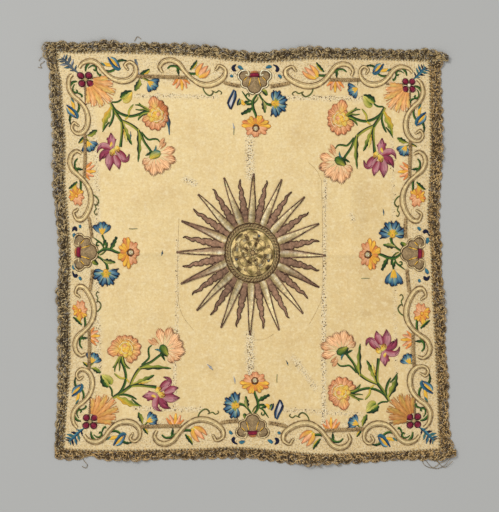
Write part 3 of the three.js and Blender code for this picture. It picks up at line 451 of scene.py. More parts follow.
def from_side(side, hand, along, deep):
    """along from the middle of a side, drawn out by the table of its half, and deep in from its edge."""
    start = hand * np.asarray(along, float)
    stations = DRAWN_AT * STRETCH[side]
    halves = [smooth_read(DRAWN_AT, stations + DRAWN_OUT[side, half], np.abs(start)) for half in (-1, 1)]
    drawn = np.where(start < 0, -halves[0], halves[1])
    if side in ("top", "bottom"):
        return drawn, OUTWARD[side][1] * (CUT_HEIGHT / 2 - deep)
    return OUTWARD[side][0] * (CUT_WIDTH / 2 - deep * DEEP_SHARE[side]), drawn


def beside(side, hand, along, deep, centre):
    """As from_side, but a flower keeps its round form: only its centre is moved by the table."""
    a, b = from_side(side, hand, *centre)
    away = hand * (along - centre[0])
    if side in ("top", "bottom"):
        return a + away, b - OUTWARD[side][1] * (deep - centre[1])
    return a - OUTWARD[side][0] * (deep - centre[1]), b + away


def from_corner(corner, right, up, insets=None):
    """right and up are measured from the root of the corner shell towards the middle of the veil."""
    hand_x, hand_y = HANDS[corner]
    inset_x, inset_y = insets or INSETS[corner]
    return -hand_x * (CUT_WIDTH / 2 - inset_x - right), -hand_y * (CUT_HEIGHT / 2 - inset_y - up)


def on_sun(x, y):
    """The sun's own plane, turned and stretched with the cloth."""
    turn = np.radians(SUN["turn"])
    across, up = x * np.cos(turn) - y * np.sin(turn), x * np.sin(turn) + y * np.cos(turn)
    middle = SUN["lift"] * (1 - (across**2 + up**2) / STRAIGHT_TIP**2)
    return SUN["x"] + SUN["widen"] * across, SUN["y"] + SUN["heighten"] * up + SUN["tilt"] * across + middle


def palmette_place(side, grow=1.0):
    """The palmette and its spray: along and deep from the palmette's centre, square to the side."""
    shift, deep = PALMETTES[side]
    x0, y0 = lay(*from_side(side, 1, shift, deep))
    hand = {"top": 1, "right": 1, "bottom": -1, "left": -1}[side]
    out_x, out_y = OUTWARD[side]

    def place(along, inward):
        across = along * hand * grow
        if out_x == 0:
            return unlay(x0 + across, y0 - out_y * inward)
        return unlay(x0 - out_x * inward, y0 + across * UPRIGHT_STRETCH)

    return place


def spray_place(corner, widths):
    """The corner spray: measured from the shell's root and laid with the cloth, and turned over at bottom left."""
    x0, y0 = lay(*from_corner(corner, 0.0, 0.0, SPRAY_ROOT))
    hand_x, hand_y = HANDS[corner]
    wide, high = widths

    def place(right, down):
        if corner == "bottom_left":
            right, down = down, right
        return unlay(x0 + hand_x * right * wide, y0 + hand_y * down * high)

    return place


# ---------------------------------------------------------------- stitched shapes


def linear(colour):
    """sRGB, 0 to 255, to the linear values that the renderer uses."""
    c = np.asarray(colour, float) / 255
    return np.where(c <= 0.04045, c / 12.92, ((c + 0.055) / 1.055) ** 2.4)


def dye(name):
    return linear(THREADS[name])


class Work:
    """Closed shapes gathered in one plane. handed is -1 where the plane is seen from behind in its tables."""

    def __init__(self, seed=1, handed=1):
        self.points, self.quads, self.tris, self.threads, self.dyes = [], [], [], [], []
        self.count, self.handed = 0, handed
        self.rng = np.random.default_rng(seed)

    def add(self, points, quads, tris, threads, dyes):
        self.points.append(points.reshape(-1, 3))
        self.quads.append(quads.reshape(-1, 4) + self.count)
        self.tris.append(tris.reshape(-1, 3) + self.count)
        self.threads.append(threads.reshape(-1, 2))
        self.dyes.append(np.broadcast_to(dyes, points.shape).reshape(-1, 3))
        self.count += len(self.points[-1])

    def tube(self, points, threads, dyes):
        """Rows of closed sections, joined each to the next, with a cap at both ends.
        points has rows, then places round the section from its left foot over the top to its right foot."""
        rows, around = points.shape[:2]
        index = np.arange(rows * around).reshape(rows, around)
        loop = np.concatenate([index, index[:, :1]], axis=1)
        quads = np.stack([loop[:-1, :-1], loop[1:, :-1], loop[1:, 1:], loop[:-1, 1:]], -1)
        k = np.arange(1, around - 1)
        start = np.stack([np.zeros_like(k), k, k + 1], -1)
        end = index[-1, 0] + np.stack([np.zeros_like(k), k + 1, k], -1)
        self.add(points, quads, np.concatenate([start, end]), threads, dyes)

    def mound(self, rim, heights, threads_turn, dyes):
        """A low dome over an outline: rings from the rim in to a pole, and a flat underside.
        rim is the outline, centred on centre; heights are the levels of the rings from the centre out."""
        centre, outline, level = rim
        rings, steps = len(heights), len(outline)
        share = np.linspace(0, 1, rings + 1)[1:]
        ring = centre + share[:, None, None] * (outline - centre)[None]
        up = np.broadcast_to(np.asarray(heights)[:, None, None] if np.ndim(heights) == 1 else
                             np.asarray(heights)[:, :, None], (rings, steps, 1))
        top = np.concatenate([ring, up + level], -1)
        apex = np.array([[*centre, level + float(np.max(heights))]])
        foot = np.array([[*centre, level]])
        points = np.concatenate([apex, top.reshape(-1, 3), foot])
        index = 1 + np.arange(rings * steps).reshape(rings, steps)
        loop = np.concatenate([index, index[:, :1]], axis=1)
        quads = np.stack([loop[:-1, :-1], loop[1:, :-1], loop[1:, 1:], loop[:-1, 1:]], -1)
        first = np.stack([np.zeros(steps, int), loop[0, :-1], loop[0, 1:]], -1)
        under = np.stack([np.full(steps, len(points) - 1), loop[-1, 1:], loop[-1, :-1]], -1)
        cos, sin = np.cos(threads_turn), np.sin(threads_turn)
        threads = np.stack([points[:, 0] * cos + points[:, 1] * sin, points[:, 1] * cos - points[:, 0] * sin], -1)
        if dyes.ndim == 3:
            dyes = np.concatenate([dyes[:1, :1].reshape(1, 3), dyes.reshape(-1, 3), dyes[-1, :1].reshape(1, 3)])
        self.add(points, quads, np.concatenate([first, under]), threads, dyes)

    def free(self):
        """Everything gathered, in its own place: points, quads, triangles, thread map and dyes."""
        return [np.concatenate(kept) for kept in (self.points, self.quads, self.tris, self.threads, self.dyes)]

    def laid(self, place):
        """Everything gathered, put on the silk by place, with its faces turned out where place mirrors them."""
        points, quads, tris, threads, dyes = self.free()
        a, b = place(points[:, 0], points[:, 1])
        x, y = lay(a, b)
        z = cloth().height(a, b) + points[:, 2]
        probe_x, probe_y = lay(*place(np.array([0.0, 1.0, 0.0]), np.array([0.0, 0.0, 1.0])))
        turn = ((probe_x[1] - probe_x[0]) * (probe_y[2] - probe_y[0])
                - (probe_y[1] - probe_y[0]) * (probe_x[2] - probe_x[0]))
        if turn < 0:
            quads, tris = quads[:, ::-1], tris[:, ::-1]
        return np.stack([x, y, z], -1), quads, tris, threads, dyes


def laid_half(work, side, hand):
    """The work of half a side, laid along that side."""
    return work.laid(lambda along, deep: from_side(side, hand, along, deep))


def spine_of(rows, step, least=4):
    """A smooth path through spine rows: places, half widths, unit tangents, lengths so far and shares 0 to 1."""
    rows = np.asarray(rows, float)
    stations = np.arange(len(rows))
    reach = np.hypot(*np.diff(rows[:, :2], axis=0).T).sum()
    count = max(least, int(round(reach / step)) + 1)
    t = np.linspace(0, len(rows) - 1, count)
    x, y, half = (smooth_read(stations, rows[:, k], t) for k in (0, 1, 2))
    tangent = np.stack([np.gradient(x), np.gradient(y)], -1)
    tangent /= np.maximum(np.hypot(tangent[:, 0], tangent[:, 1]), 1e-9)[:, None]
    far = np.concatenate([[0], np.cumsum(np.hypot(np.diff(x), np.diff(y)))])
    return np.stack([x, y], -1), np.maximum(half, 0.12), tangent, far, np.linspace(0, 1, count)


def blade(work, shade, level, rows, dome=0.5, columns=7, step=1.9, teeth=0.0, frill=0.0, frills=3.0,
          sharp=0.22, dark=0.0, edge=0.3):
    """A stitched leaf, petal or stem: an arched section carried along a smooth spine.
    Its width follows the rows, frill swells it in waves, and teeth pushes every other thread of the tip out."""
    path, half, tangent, far, share = spine_of(rows, step)
    half = half * (1 + frill * np.sin(2 * np.pi * frills * share + 1.1))
    side = np.stack([-tangent[:, 1], tangent[:, 0]], -1)
    turn = np.linspace(0, np.pi, columns)
    across, arch = -np.cos(turn), np.sin(turn)
    places = path[:, None] + side[:, None] * (half[:, None] * across)[..., None]
    if teeth:
        reach = np.where(np.arange(columns) % 2 == 0, -1.0, 1.0) * teeth - np.abs(across) ** 2 * teeth
        places = places + tangent[:, None] * (reach * np.clip((share[:, None] - 0.45) / 0.55, 0, 1) ** 1.5)[..., None]
    height = level + dome * arch * np.minimum(half, 1.6)[:, None] / 1.6
    points = np.concatenate([places, height[..., None]], -1)
    left_root, left_tip, right_root, right_tip, *rim = SHADES[shade].split()
    blend = np.clip(share * 1.3 - 0.15, 0, 1)[:, None, None]
    seen = np.clip((across * work.handed + sharp) / (2 * sharp), 0, 1)[None, :, None]
    colour = mix(mix(dye(left_root), dye(left_tip), blend), mix(dye(right_root), dye(right_tip), blend), seen)
    if rim:
        near = np.maximum(np.abs(across)[None] ** 4, np.clip((share - 0.8) / 0.2, 0, 1)[:, None] * 0.8)[..., None]
        colour = mix(colour, dye(rim[0]), near)
    # Painted shade: edge darkens the outer threads on both sides of the shape, standing in for the shadow where the
    # stitches dip into the silk
    colour = colour * (1 - edge * np.abs(across) ** 6)[None, :, None] * (work.rng.uniform(0.92, 1.08) - dark)
    colour = colour * work.rng.uniform(0.93, 1.07, (len(path), columns, 1))
    work.tube(points, np.stack([np.broadcast_to(far[:, None], height.shape), half[:, None] * across], -1), colour)


def cord(work, path, radius, level, colour, sides=6, squash=1.0, other=None):
    """A couched cord: a round section carried along a path of points, lying on level. A third column is height."""
    path = np.asarray(path, float)
    up = path[:, 2] if path.shape[1] > 2 else np.zeros(len(path))
    tangent = np.stack([np.gradient(path[:, 0]), np.gradient(path[:, 1])], -1)
    tangent /= np.maximum(np.hypot(tangent[:, 0], tangent[:, 1]), 1e-9)[:, None]
    side = np.stack([-tangent[:, 1], tangent[:, 0]], -1)
    turn = np.linspace(0, 2 * np.pi, sides, endpoint=False)
    radius = np.broadcast_to(np.asarray(radius, float), (len(path),))
    places = path[:, None, :2] - side[:, None] * (radius[:, None] * np.cos(turn))[..., None]
    height = (level + up + radius * squash)[:, None] + radius[:, None] * squash * np.sin(turn)
    far = np.concatenate([[0], np.cumsum(np.hypot(*np.diff(path[:, :2], axis=0).T))])
    threads = np.stack([np.broadcast_to(far[:, None], height.shape),
                        np.broadcast_to(turn[None] * np.mean(radius), height.shape)], -1)
    shade = dye(colour) if isinstance(colour, str) else np.asarray(colour)
    if other:
        shade = mix(shade, dye(other), work.rng.uniform(0, 1, (len(path), 1, 1)) ** 1.5)
    shade = shade * work.rng.uniform(0.86, 1.14, (len(path), 1, 1)) * np.ones((1, sides, 1))
    work.tube(np.concatenate([places, height[..., None]], -1), threads, shade)


def disc(work, centre, radius, level, dome, colour, edge, steps=14):
    """A round satin-stitched petal or knot: rings out from a pole, with the height falling as a circle's arc."""
    around = np.linspace(0, 2 * np.pi, steps, endpoint=False)
    outline = np.asarray(centre) + radius * np.stack([np.cos(around), np.sin(around)], -1)
    share = np.array([0.45, 0.8, 1.0])
    heights = dome * np.sqrt(np.maximum(1 - share**2, 0)) + 0.05
    colours = mix(dye(colour), dye(edge), share[:, None, None] ** 2.5) * work.rng.uniform(0.9, 1.1, (3, steps, 1))
    work.mound((np.asarray(centre, float), outline, level), heights, 0.0, colours)


def spoke(centre, turn, stations):
    """Spine rows along a straight line out from a centre. stations are pairs of radius and half width."""
    return [(centre[0] + r * np.cos(turn), centre[1] + r * np.sin(turn), wide) for r, wide in stations]


def petal(work, shade, level, centre, angle, start, reach, half, fullness=1.0, **looks):
    """A petal out from a centre: its half width is a sine of the share of its length, fuller towards the tip."""
    t = np.linspace(0, 1, 6)
    wide = half * np.sin(np.pi * (0.12 + 0.80 * t) ** fullness) ** 0.8
    blade(work, shade, level, spoke(centre, np.radians(angle), zip(mix(start, reach, t), wide)), **looks)


# ---------------------------------------------------------------- materials


def soft_material(name, roughness, sheen, metallic=0.0, fine=(0.22, 2.4, 0.2), coarse=(0.12, 0.8, 0.2), bump=0.5):
    """Thread: the piece's own dye, streaked by a fine and a coarse noise, both stretched along the stitches.
    fine and coarse hold the noise's scale along and across the thread, per mm, and how far it lightens and darkens."""
    material = bpy.data.materials.new(name)
    material.use_nodes = True
    nodes, links = material.node_tree.nodes, material.node_tree.links
    shader = nodes["Principled BSDF"]
    shader.inputs["Roughness"].default_value = roughness
    shader.inputs["Metallic"].default_value = metallic
    shader.inputs["Sheen Weight"].default_value = sheen
    shader.inputs["Sheen Roughness"].default_value = 0.45
    shader.inputs["Specular IOR Level"].default_value = 0.2
    colour = nodes.new("ShaderNodeAttribute")
    colour.attribute_name = "dye"
    thread = nodes.new("ShaderNodeUVMap")
    thread.uv_map = "threads"
    relief = nodes.new("ShaderNodeBump")
    relief.inputs["Strength"].default_value = bump
    relief.inputs["Distance"].default_value = 0.0002
    links.new(relief.outputs["Normal"], shader.inputs["Normal"])
    dyed = colour.outputs["Color"]
    for along, across, spread in (coarse, fine):
        stretch = nodes.new("ShaderNodeMapping")
        stretch.inputs["Scale"].default_value = (along, across, 1.0)
        streak = nodes.new("ShaderNodeTexNoise")
        streak.inputs["Scale"].default_value = 1.0
        streak.inputs["Detail"].default_value = 3.0
        links.new(thread.outputs["UV"], stretch.inputs["Vector"])
        links.new(stretch.outputs["Vector"], streak.inputs["Vector"])
        shade = nodes.new("ShaderNodeMapRange")
        for key, value in (("From Min", 0.32), ("From Max", 0.68), ("To Min", 1 - spread), ("To Max", 1 + spread)):
            shade.inputs[key].default_value = value
        links.new(streak.outputs["Fac"], shade.inputs["Value"])
        scaled = nodes.new("ShaderNodeVectorMath")
        scaled.operation = "SCALE"
        links.new(dyed, scaled.inputs[0])
        links.new(shade.outputs["Result"], scaled.inputs["Scale"])
        dyed = scaled.outputs["Vector"]
    links.new(streak.outputs["Fac"], relief.inputs["Height"])
    links.new(dyed, shader.inputs["Base Color"])
    return material


def silk_material():
    """Cream silk: its dye map with age stains, worn greyish patches, and a fine plain weave in the bump."""
    material = soft_material("cream silk", 0.55, 0.15, fine=(0.04, 0.32, 0.03), coarse=(0.22, 0.035, 0.03), bump=0.12)
    nodes, links = material.node_tree.nodes, material.node_tree.links
    shader = nodes["Principled BSDF"]
    dyed = shader.inputs["Base Color"].links[0].from_socket
    place = nodes.new("ShaderNodeTexCoord")

    def noise(scale, detail, low, high, to_low, to_high):
        texture = nodes.new("ShaderNodeTexNoise")
        texture.inputs["Scale"].default_value = scale
        texture.inputs["Detail"].default_value = detail
        links.new(place.outputs["Object"], texture.inputs["Vector"])
        spread = nodes.new("ShaderNodeMapRange")
        for key, value in (("From Min", low), ("From Max", high), ("To Min", to_low), ("To Max", to_high)):
            spread.inputs[key].default_value = value
        links.new(texture.outputs["Fac"], spread.inputs["Value"])
        return spread.outputs["Result"]

    def blended(base, amount, colour):
        node = nodes.new("ShaderNodeMix")
        node.data_type = "RGBA"
        links.new(amount, node.inputs["Factor"])
        links.new(base, node.inputs["A"])
        node.inputs["B"].default_value = (*linear(colour), 1)
        return node.outputs["Result"]

    stained = blended(dyed, noise(22, 5, 0.52, 0.78, 0, 0.35), (208, 170, 112))
    stained = blended(stained, noise(60, 4, 0.62, 0.8, 0, 0.3), (196, 152, 100))
    stained = blended(stained, noise(130, 4, 0.5, 0.72, 0, 0.3), (250, 232, 192))
    stained = blended(stained, noise(430, 3, 0.35, 0.75, 0, 0.42), (204, 168, 112))
    stained = blended(stained, noise(290, 3, 0.5, 0.8, 0, 0.55), (255, 238, 192))
    wear = nodes.new("ShaderNodeAttribute")
    wear.attribute_name = "wear"
    for scale, low, high, colour in ((560, 0.45, 0.54, (242, 226, 190)), (520, 0.53, 0.6, (122, 98, 66))):
        both = nodes.new("ShaderNodeMath")
        both.operation = "MULTIPLY"
        links.new(wear.outputs["Fac"], both.inputs[0])
        links.new(noise(scale, 2, low, high, 0, 1), both.inputs[1])
        stained = blended(stained, both.outputs["Value"], colour)
    links.new(stained, shader.inputs["Base Color"])
    weave = nodes.new("ShaderNodeTexWave")
    weave.inputs["Scale"].default_value = 2.2
    weave.inputs["Distortion"].default_value = 0.6
    thread = nodes.new("ShaderNodeUVMap")
    thread.uv_map = "threads"
    links.new(thread.outputs["UV"], weave.inputs["Vector"])
    cross = nodes.new("ShaderNodeTexWave")
    cross.bands_direction = "Y"
    cross.inputs["Scale"].default_value = 2.0
    cross.inputs["Distortion"].default_value = 0.6
    links.new(thread.outputs["UV"], cross.inputs["Vector"])
    over = nodes.new("ShaderNodeMath")
    over.operation = "ADD"
    links.new(weave.outputs["Fac"], over.inputs[0])
    links.new(cross.outputs["Fac"], over.inputs[1])
    relief = shader.inputs["Normal"].links[0].from_node
    links.new(over.outputs["Value"], relief.inputs["Height"])
    relief.inputs["Distance"].default_value = 0.00005
    return material


def floor_material(colour):
    """A matt studio floor with the faintest unevenness."""
    material = bpy.data.materials.new("studio floor")
    material.use_nodes = True
    nodes, links = material.node_tree.nodes, material.node_tree.links
    shader = nodes["Principled BSDF"]
    shader.inputs["Roughness"].default_value = 0.9
    shader.inputs["Specular IOR Level"].default_value = 0.1
    place = nodes.new("ShaderNodeTexCoord")
    cloud = nodes.new("ShaderNodeTexNoise")
    cloud.inputs["Scale"].default_value = 3.0
    links.new(place.outputs["Object"], cloud.inputs["Vector"])
    ramp = nodes.new("ShaderNodeValToRGB")
    ramp.color_ramp.elements[0].color = (*(np.array(colour) * 0.98), 1)
    ramp.color_ramp.elements[1].color = (*(np.array(colour) * 1.02), 1)
    links.new(cloud.outputs["Fac"], ramp.inputs["Fac"])
    links.new(ramp.outputs["Color"], shader.inputs["Base Color"])
    return material


FINISHES = {}


def finish(name):
    """The veil's finishes, each made once."""
    if name not in FINISHES:
        FINISHES[name] = {
            "silk": silk_material,
            "floss": lambda: soft_material("silk floss", 0.5, 0.04, fine=(0.22, 2.4, 0.16), coarse=(0.1, 0.8, 0.3)),
            "gold": lambda: soft_material("gold thread", 0.46, 0.1, 0.12, (0.3, 2.6, 0.25), (0.3, 0.7, 0.3), 0.6),
            "pale": lambda: soft_material("pale silver-gilt thread", 0.5, 0.05, 0.0, (0.25, 2.4, 0.15),
                                          (0.2, 0.6, 0.16)),
            "lace": lambda: soft_material("tarnished lace thread", 0.5, 0.05, 0.1, (0.3, 3.0, 0.3),
                                          (0.35, 0.5, 0.3), 0.6),
        }[name]()
    return FINISHES[name]


# ---------------------------------------------------------------- meshes


def make_mesh(name, parts, finish_name, slot, *replaced, wear=None):
    """One piece of several laid parts: quads and triangles, the thread map, the dye, smooth faces.
    It has its finish, rides the veil, and stands for the named solids. The slot argument is not used."""
    firsts = np.cumsum([0] + [len(part[0]) for part in parts[:-1]])
    quads, tris = (np.concatenate([part[k] + first for part, first in zip(parts, firsts)]) for k in (1, 2))
    points, threads, dyes = (np.concatenate([part[k] for part in parts]) for k in (0, 3, 4))
    points = (points - [*OUTLINE_CENTRE, 0.0]) / MM_IN_METRE
    mesh = bpy.data.meshes.new(name)
    mesh.vertices.add(len(points))
    mesh.vertices.foreach_set("co", points.astype(np.float32).ravel())
    loops = np.concatenate([quads.ravel(), tris.ravel()]).astype(np.int32)
    mesh.loops.add(len(loops))
    mesh.loops.foreach_set("vertex_index", loops)
    starts = np.concatenate([np.arange(len(quads)) * 4, len(quads) * 4 + np.arange(len(tris)) * 3]).astype(np.int32)
    mesh.polygons.add(len(starts))
    mesh.polygons.foreach_set("loop_start", starts)
    mesh.polygons.foreach_set("use_smooth", np.ones(len(starts), bool))
    mesh.update(calc_edges=True)
    uv = mesh.uv_layers.new(name="threads")
    uv.data.foreach_set("uv", threads[loops].astype(np.float32).ravel())
    colour = mesh.color_attributes.new("dye", "FLOAT_COLOR", "POINT")
    rgba = np.concatenate([np.clip(dyes, 0, 1), np.ones((len(dyes), 1))], -1)
    colour.data.foreach_set("color", rgba.astype(np.float32).ravel())
    if wear is not None:
        worn = mesh.attributes.new("wear", "FLOAT", "POINT")
        worn.data.foreach_set("value", wear.astype(np.float32).ravel())
    mesh.materials.append(finish(finish_name))
    obj = bpy.data.objects.new(name, mesh)
    bpy.context.scene.collection.objects.link(obj)
    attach(obj, "root")
    if replaced:
        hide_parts(*replaced)
    return obj


# ---------------------------------------------------------------- the pieces

# Worn and rubbed places. Columns: x0, y0, x1, y1, half width, strength
WORN = np.array([
    (2, 152, 3, 100, 10, 1.0), (3, -108, 3, -172, 10, 1.0), (102, 96, 100, -60, 4.5, 0.8),
    (100, -60, 100, -246, 5.5, 1.0),
    (-93, 14, -94, -140, 4, 0.6), (-82, 96, -70, 90, 7, 1.0), (-96, -100, -97, -200, 5, 0.8),
    (-150, 206, -40, 205, 5, 0.7),
    (40, 204, 150, 202, 6, 0.8), (-120, 210, -116, 170, 5, 0.6), (-200, 150, -198, 40, 5, 0.5),
    (-199, -40, -196, -160, 5, 0.4),
    (190, 160, 196, -170, 5, 0.4), (-150, -206, -60, -208, 6, 0.7), (40, -208, 150, -214, 6, 0.6),
    (-20, 236, 30, 234, 6, 0.4),
    (60, -140, 90, -180, 7, 0.7), (136, 50, 139, 42, 5, 0.8), (-60, 236, 60, 232, 4, 0.3), (-134, 148, -128, 120, 5,
        0.5),
])
# Stains. Columns: x0, y0, x1, y1, half width, strength
STAINS = np.array([
    (150, 80, 176, 40, 24, 0.5), (160, -30, 178, -76, 24, 0.5), (-52, -150, -46, -154, 14, 0.6),
    (46, -140, 58, -146, 15, 0.6),
    (150, 43, 156, 42, 6, 1.0), (184, -62, 190, -66, 6, 0.9), (152, -80, 160, -82, 7, 0.9), (-152, 20, -140, 16, 12,
        0.4),
    (60, 158, 84, 150, 14, 0.35), (-190, -110, -100, -200, 64, 0.2), (-20, -190, 30, -192, 12, 0.35),
    (-176, -20, -170, -60, 16, 0.35), (112, 20, 122, 10, 10, 0.35),
])


def silk_dye(a, b, x, y):
    """The ground colour: lighter at upper left, deeper at lower right and near the edges, with stains."""
    drift = np.clip((x - y) / 1100 + 0.5, 0, 1)[..., None]
    ground = mix(linear((245, 220, 162)), linear((228, 199, 140)), drift)
    cloudy = waves(x, y, 11, 18, 260, 50)[..., None]
    ground = ground * (1 + 0.1 * cloudy * np.array([0.6, 1.0, 1.5]))
    near = np.minimum(CUT_WIDTH / 2 - np.abs(a), CUT_HEIGHT / 2 - np.abs(b))
    stained = 0.13 * np.exp(-((near / 22) ** 2)) + 0.16 * np.clip(ridges(x, y, STAINS), 0, 1)
    return ground * (1 - stained[..., None] * np.array([0.8, 1.0, 1.25]))


def make_silk():
    """The silk ground: the cut grid laid and lifted, given its thickness downwards."""
    sizes = bpy.context.scene.veil_sizes
    veil = cloth()
    rows, columns = veil.x.shape
    index = np.arange(rows * columns).reshape(rows, columns)
    quads = np.stack([index[:-1, :-1], index[:-1, 1:], index[1:, 1:], index[1:, :-1]], -1).reshape(-1, 4)
    points = np.stack([veil.x, veil.y, veil.z], -1).reshape(-1, 3)
    a, b = np.meshgrid(veil.a, veil.b)
    threads = np.stack([a, b], -1).reshape(-1, 2)
    part = (points, quads, np.zeros((0, 3), int), threads, silk_dye(a, b, veil.x, veil.y).reshape(-1, 3))
    near = np.minimum(CUT_WIDTH / 2 - np.abs(a), CUT_HEIGHT / 2 - np.abs(b))
    wear = np.clip(ridges(veil.x, veil.y, WORN) + 0.42 * np.clip((46 - near) / 10, 0, 1), 0, 1)
    silk = make_mesh("silk_cloth", [part], "silk", "silk", "silk_ground", wear=wear)
    wall = silk.modifiers.new("backing", "SOLIDIFY")
    wall.thickness = sizes.silk_thickness / MM_IN_METRE
    wall.offset = -1.0
    return silk


def make_lace(side):
    """One length of bobbin lace: a plaited footing, a clothwork band of flat dark strands that also paint the shade in
    its gaps, spokes and scalloped edge threads.
    q counts scallops along the length, and w runs from the silk edge, 0, to the tips of the scallops, 1."""
    sizes = bpy.context.scene.veil_sizes
    length = CUT_WIDTH if side in ("top", "bottom") else CUT_HEIGHT
    start, end = -LACE_PAST[side][0] / length, 1 + LACE_PAST[side][1] / length
    fans = int(round((end - start) * length / sizes.scallop))
    table = EDGES[side]
    work = Work(seed={"top": 21, "right": 22, "bottom": 23, "left": 24}[side])
    rng = work.rng

    def place(q, w):
        along = start + (end - start) * np.clip(q / fans, 0, 1)
        reach = smooth_read(table[:, 0], table[:, 3], np.clip(along, table[0, 0], table[-1, 0]))
        return edge_point(side, along, SEAT_GAP + w * (reach - SEAT_GAP))

    def strand(q, w, z, radius, colour, other=None, squash=0.8):
        """One thread along q, w and z, jittered, and dyed unevenly along its length."""
        w = w + rng.normal(0, 0.006, len(w))
        x, y = place(q, w)
        tone = rng.uniform(0.35, 1.65, len(q) // 5 + 3)
        tone = np.interp(np.linspace(0, len(tone) - 1, len(q)), np.arange(len(tone)), tone)
        shade = dye(colour) * tone[:, None]
        if other:
            spot = np.interp(np.linspace(0, 40 * fans, len(q)), np.arange(40 * fans + 1),
                             rng.uniform(0, 1, 40 * fans + 1) ** 3)
            shade = mix(shade, dye(other), spot[:, None])
        cord(work, np.stack([x, y, ridges(x, y, FOLDS) + z], -1), radius, 0.0, shade[:, None, :], 3, squash)

    def q_line(per_fan):
        return np.linspace(0, fans, fans * per_fan + 1)

    depth = rng.uniform(0.12, 0.27, fans + 2)
    shift = rng.uniform(-0.12, 0.12, fans + 2)

    def scallop(q):
        """How far out the scalloped edge lies: every fan has its own depth, and its ends are moved a little."""
        moved = q + np.interp(q, np.arange(fans + 2), shift)
        fan = np.clip(moved, 0, fans).astype(int)
        return 0.74 + depth[fan] * np.abs(np.sin(np.pi * moved)) ** 0.7

    # The clothwork band: five wide, flat, dark strands lying lowest, partly the lace's own clothwork and partly a
    # painted shadow filling the gaps between the threads above
    q = q_line(4)
    for w, half in ((0.10, 1.0), (0.24, 1.15), (0.38, 1.1), (0.52, 1.1), (0.66, 1.1)):
        strand(q, np.full(len(q), w), 0.05 + 0.1 * np.sin(q * 9), half, "lace_dark", "lace_mid", 0.3)
    q = q_line(24)
    for k in range(3):
        turn = 2 * np.pi * (3 * q + k / 3)
        strand(q, 0.05 + 0.04 * np.sin(turn), 0.5 + 0.3 * np.sin(2 * turn), 0.42, "lace_light", "lace_glint")
    q = q_line(14)
    for low, high, waves_per_fan, start_at, colour in (
        (0.10, 0.42, 4, 0.0, "lace_mid"), (0.10, 0.42, 4, 0.5, "lace_light"), (0.36, 0.72, 3, 0.25, "lace_mid"),
    ):
        saw = np.abs(((q * waves_per_fan + start_at) % 1) * 2 - 1)
        strand(q, mix(low, high, saw), 0.75 + 0.35 * np.sin(q * 31 + start_at * 9), 0.36, colour, "lace_glint")
    q = q_line(16)
    strand(q, scallop(q), np.full(len(q), 0.5), 0.55, "lace_mid", "lace_glint")
    strand(q, scallop(q) - 0.11, np.full(len(q), 0.7), 0.5, "lace_mid", "lace_light")
    strand(q, scallop(q) - 0.2, np.full(len(q), 0.3), 0.6, "lace_dark", "lace_light")
    q = q_line(20)
    strand(q, scallop(q) + 0.08 * np.abs(np.sin(4.5 * np.pi * q)), 0.35 + 0 * q, 0.4, "lace_mid", "lace_light")
    inks = ("lace_dark", "lace_dark", "lace_mid", "lace_light", "lace_glint", "lace_grey")
    count = 34 * fans
    bends, turns, lengths = rng.uniform(-1.6, 1.6, count), rng.uniform(0, np.pi, count), rng.uniform(1.2, 3.4, count)
    middles, depths = rng.uniform(0.1, fans - 0.1, count), rng.uniform(0.1, 1.0, count)
    t = np.linspace(-1, 1, 5)
    for k in range(count):
        over = bends[k] * (1 - t * t)
        qs = middles[k] + (lengths[k] * t * np.cos(turns[k]) - over * np.sin(turns[k])) / sizes.scallop
        ws = depths[k] * (scallop(middles[k]) - 0.06) + (lengths[k] * t * np.sin(turns[k])
                                                                + over * np.cos(turns[k])) / 17
        x, y = place(qs, np.clip(ws, 0.02, 1.04))
        up = ridges(x, y, FOLDS) + 0.9 + 0.5 * (1 - t * t) + 0.3 * depths[k]
        cord(work, np.stack([x, y, up], -1), 0.5 if k % 3 else 0.7, 0.0, inks[k % 6], 3, 0.8)
    for k in range(6 * fans):
        qs = (k + 0.5) / 6 + np.array([-0.05, 0.0, 0.05]) + rng.uniform(-0.03, 0.03)
        x, y = place(qs, np.array([-0.12, -0.05, 0.04]))
        up = cloth().height(*unlay(x, y)) + 0.1
        cord(work, np.stack([x, y, up], -1), 0.42, 0.0, ("cream", "lace_mid", "white", "outline")[k % 4], 3, 0.9)
    tint = np.array({"top": (1, 1, 1), "left": (1, 1, 1), "right": (1.1, 1, 0.86), "bottom": (1.1, 1, 0.88)}[side])
    work.dyes = [colours * tint for colours in work.dyes]
    return make_mesh(f"bobbin_lace_{side}", [work.free()], "lace", "lace", f"lace_{side}")


# Which straight rays are filled to the tip, counted from the right-hand one against the clock
FILLED_RAYS = {0: "half", 7: "full", 8: "half", 9: "full", 15: "full", 4: "grey"}


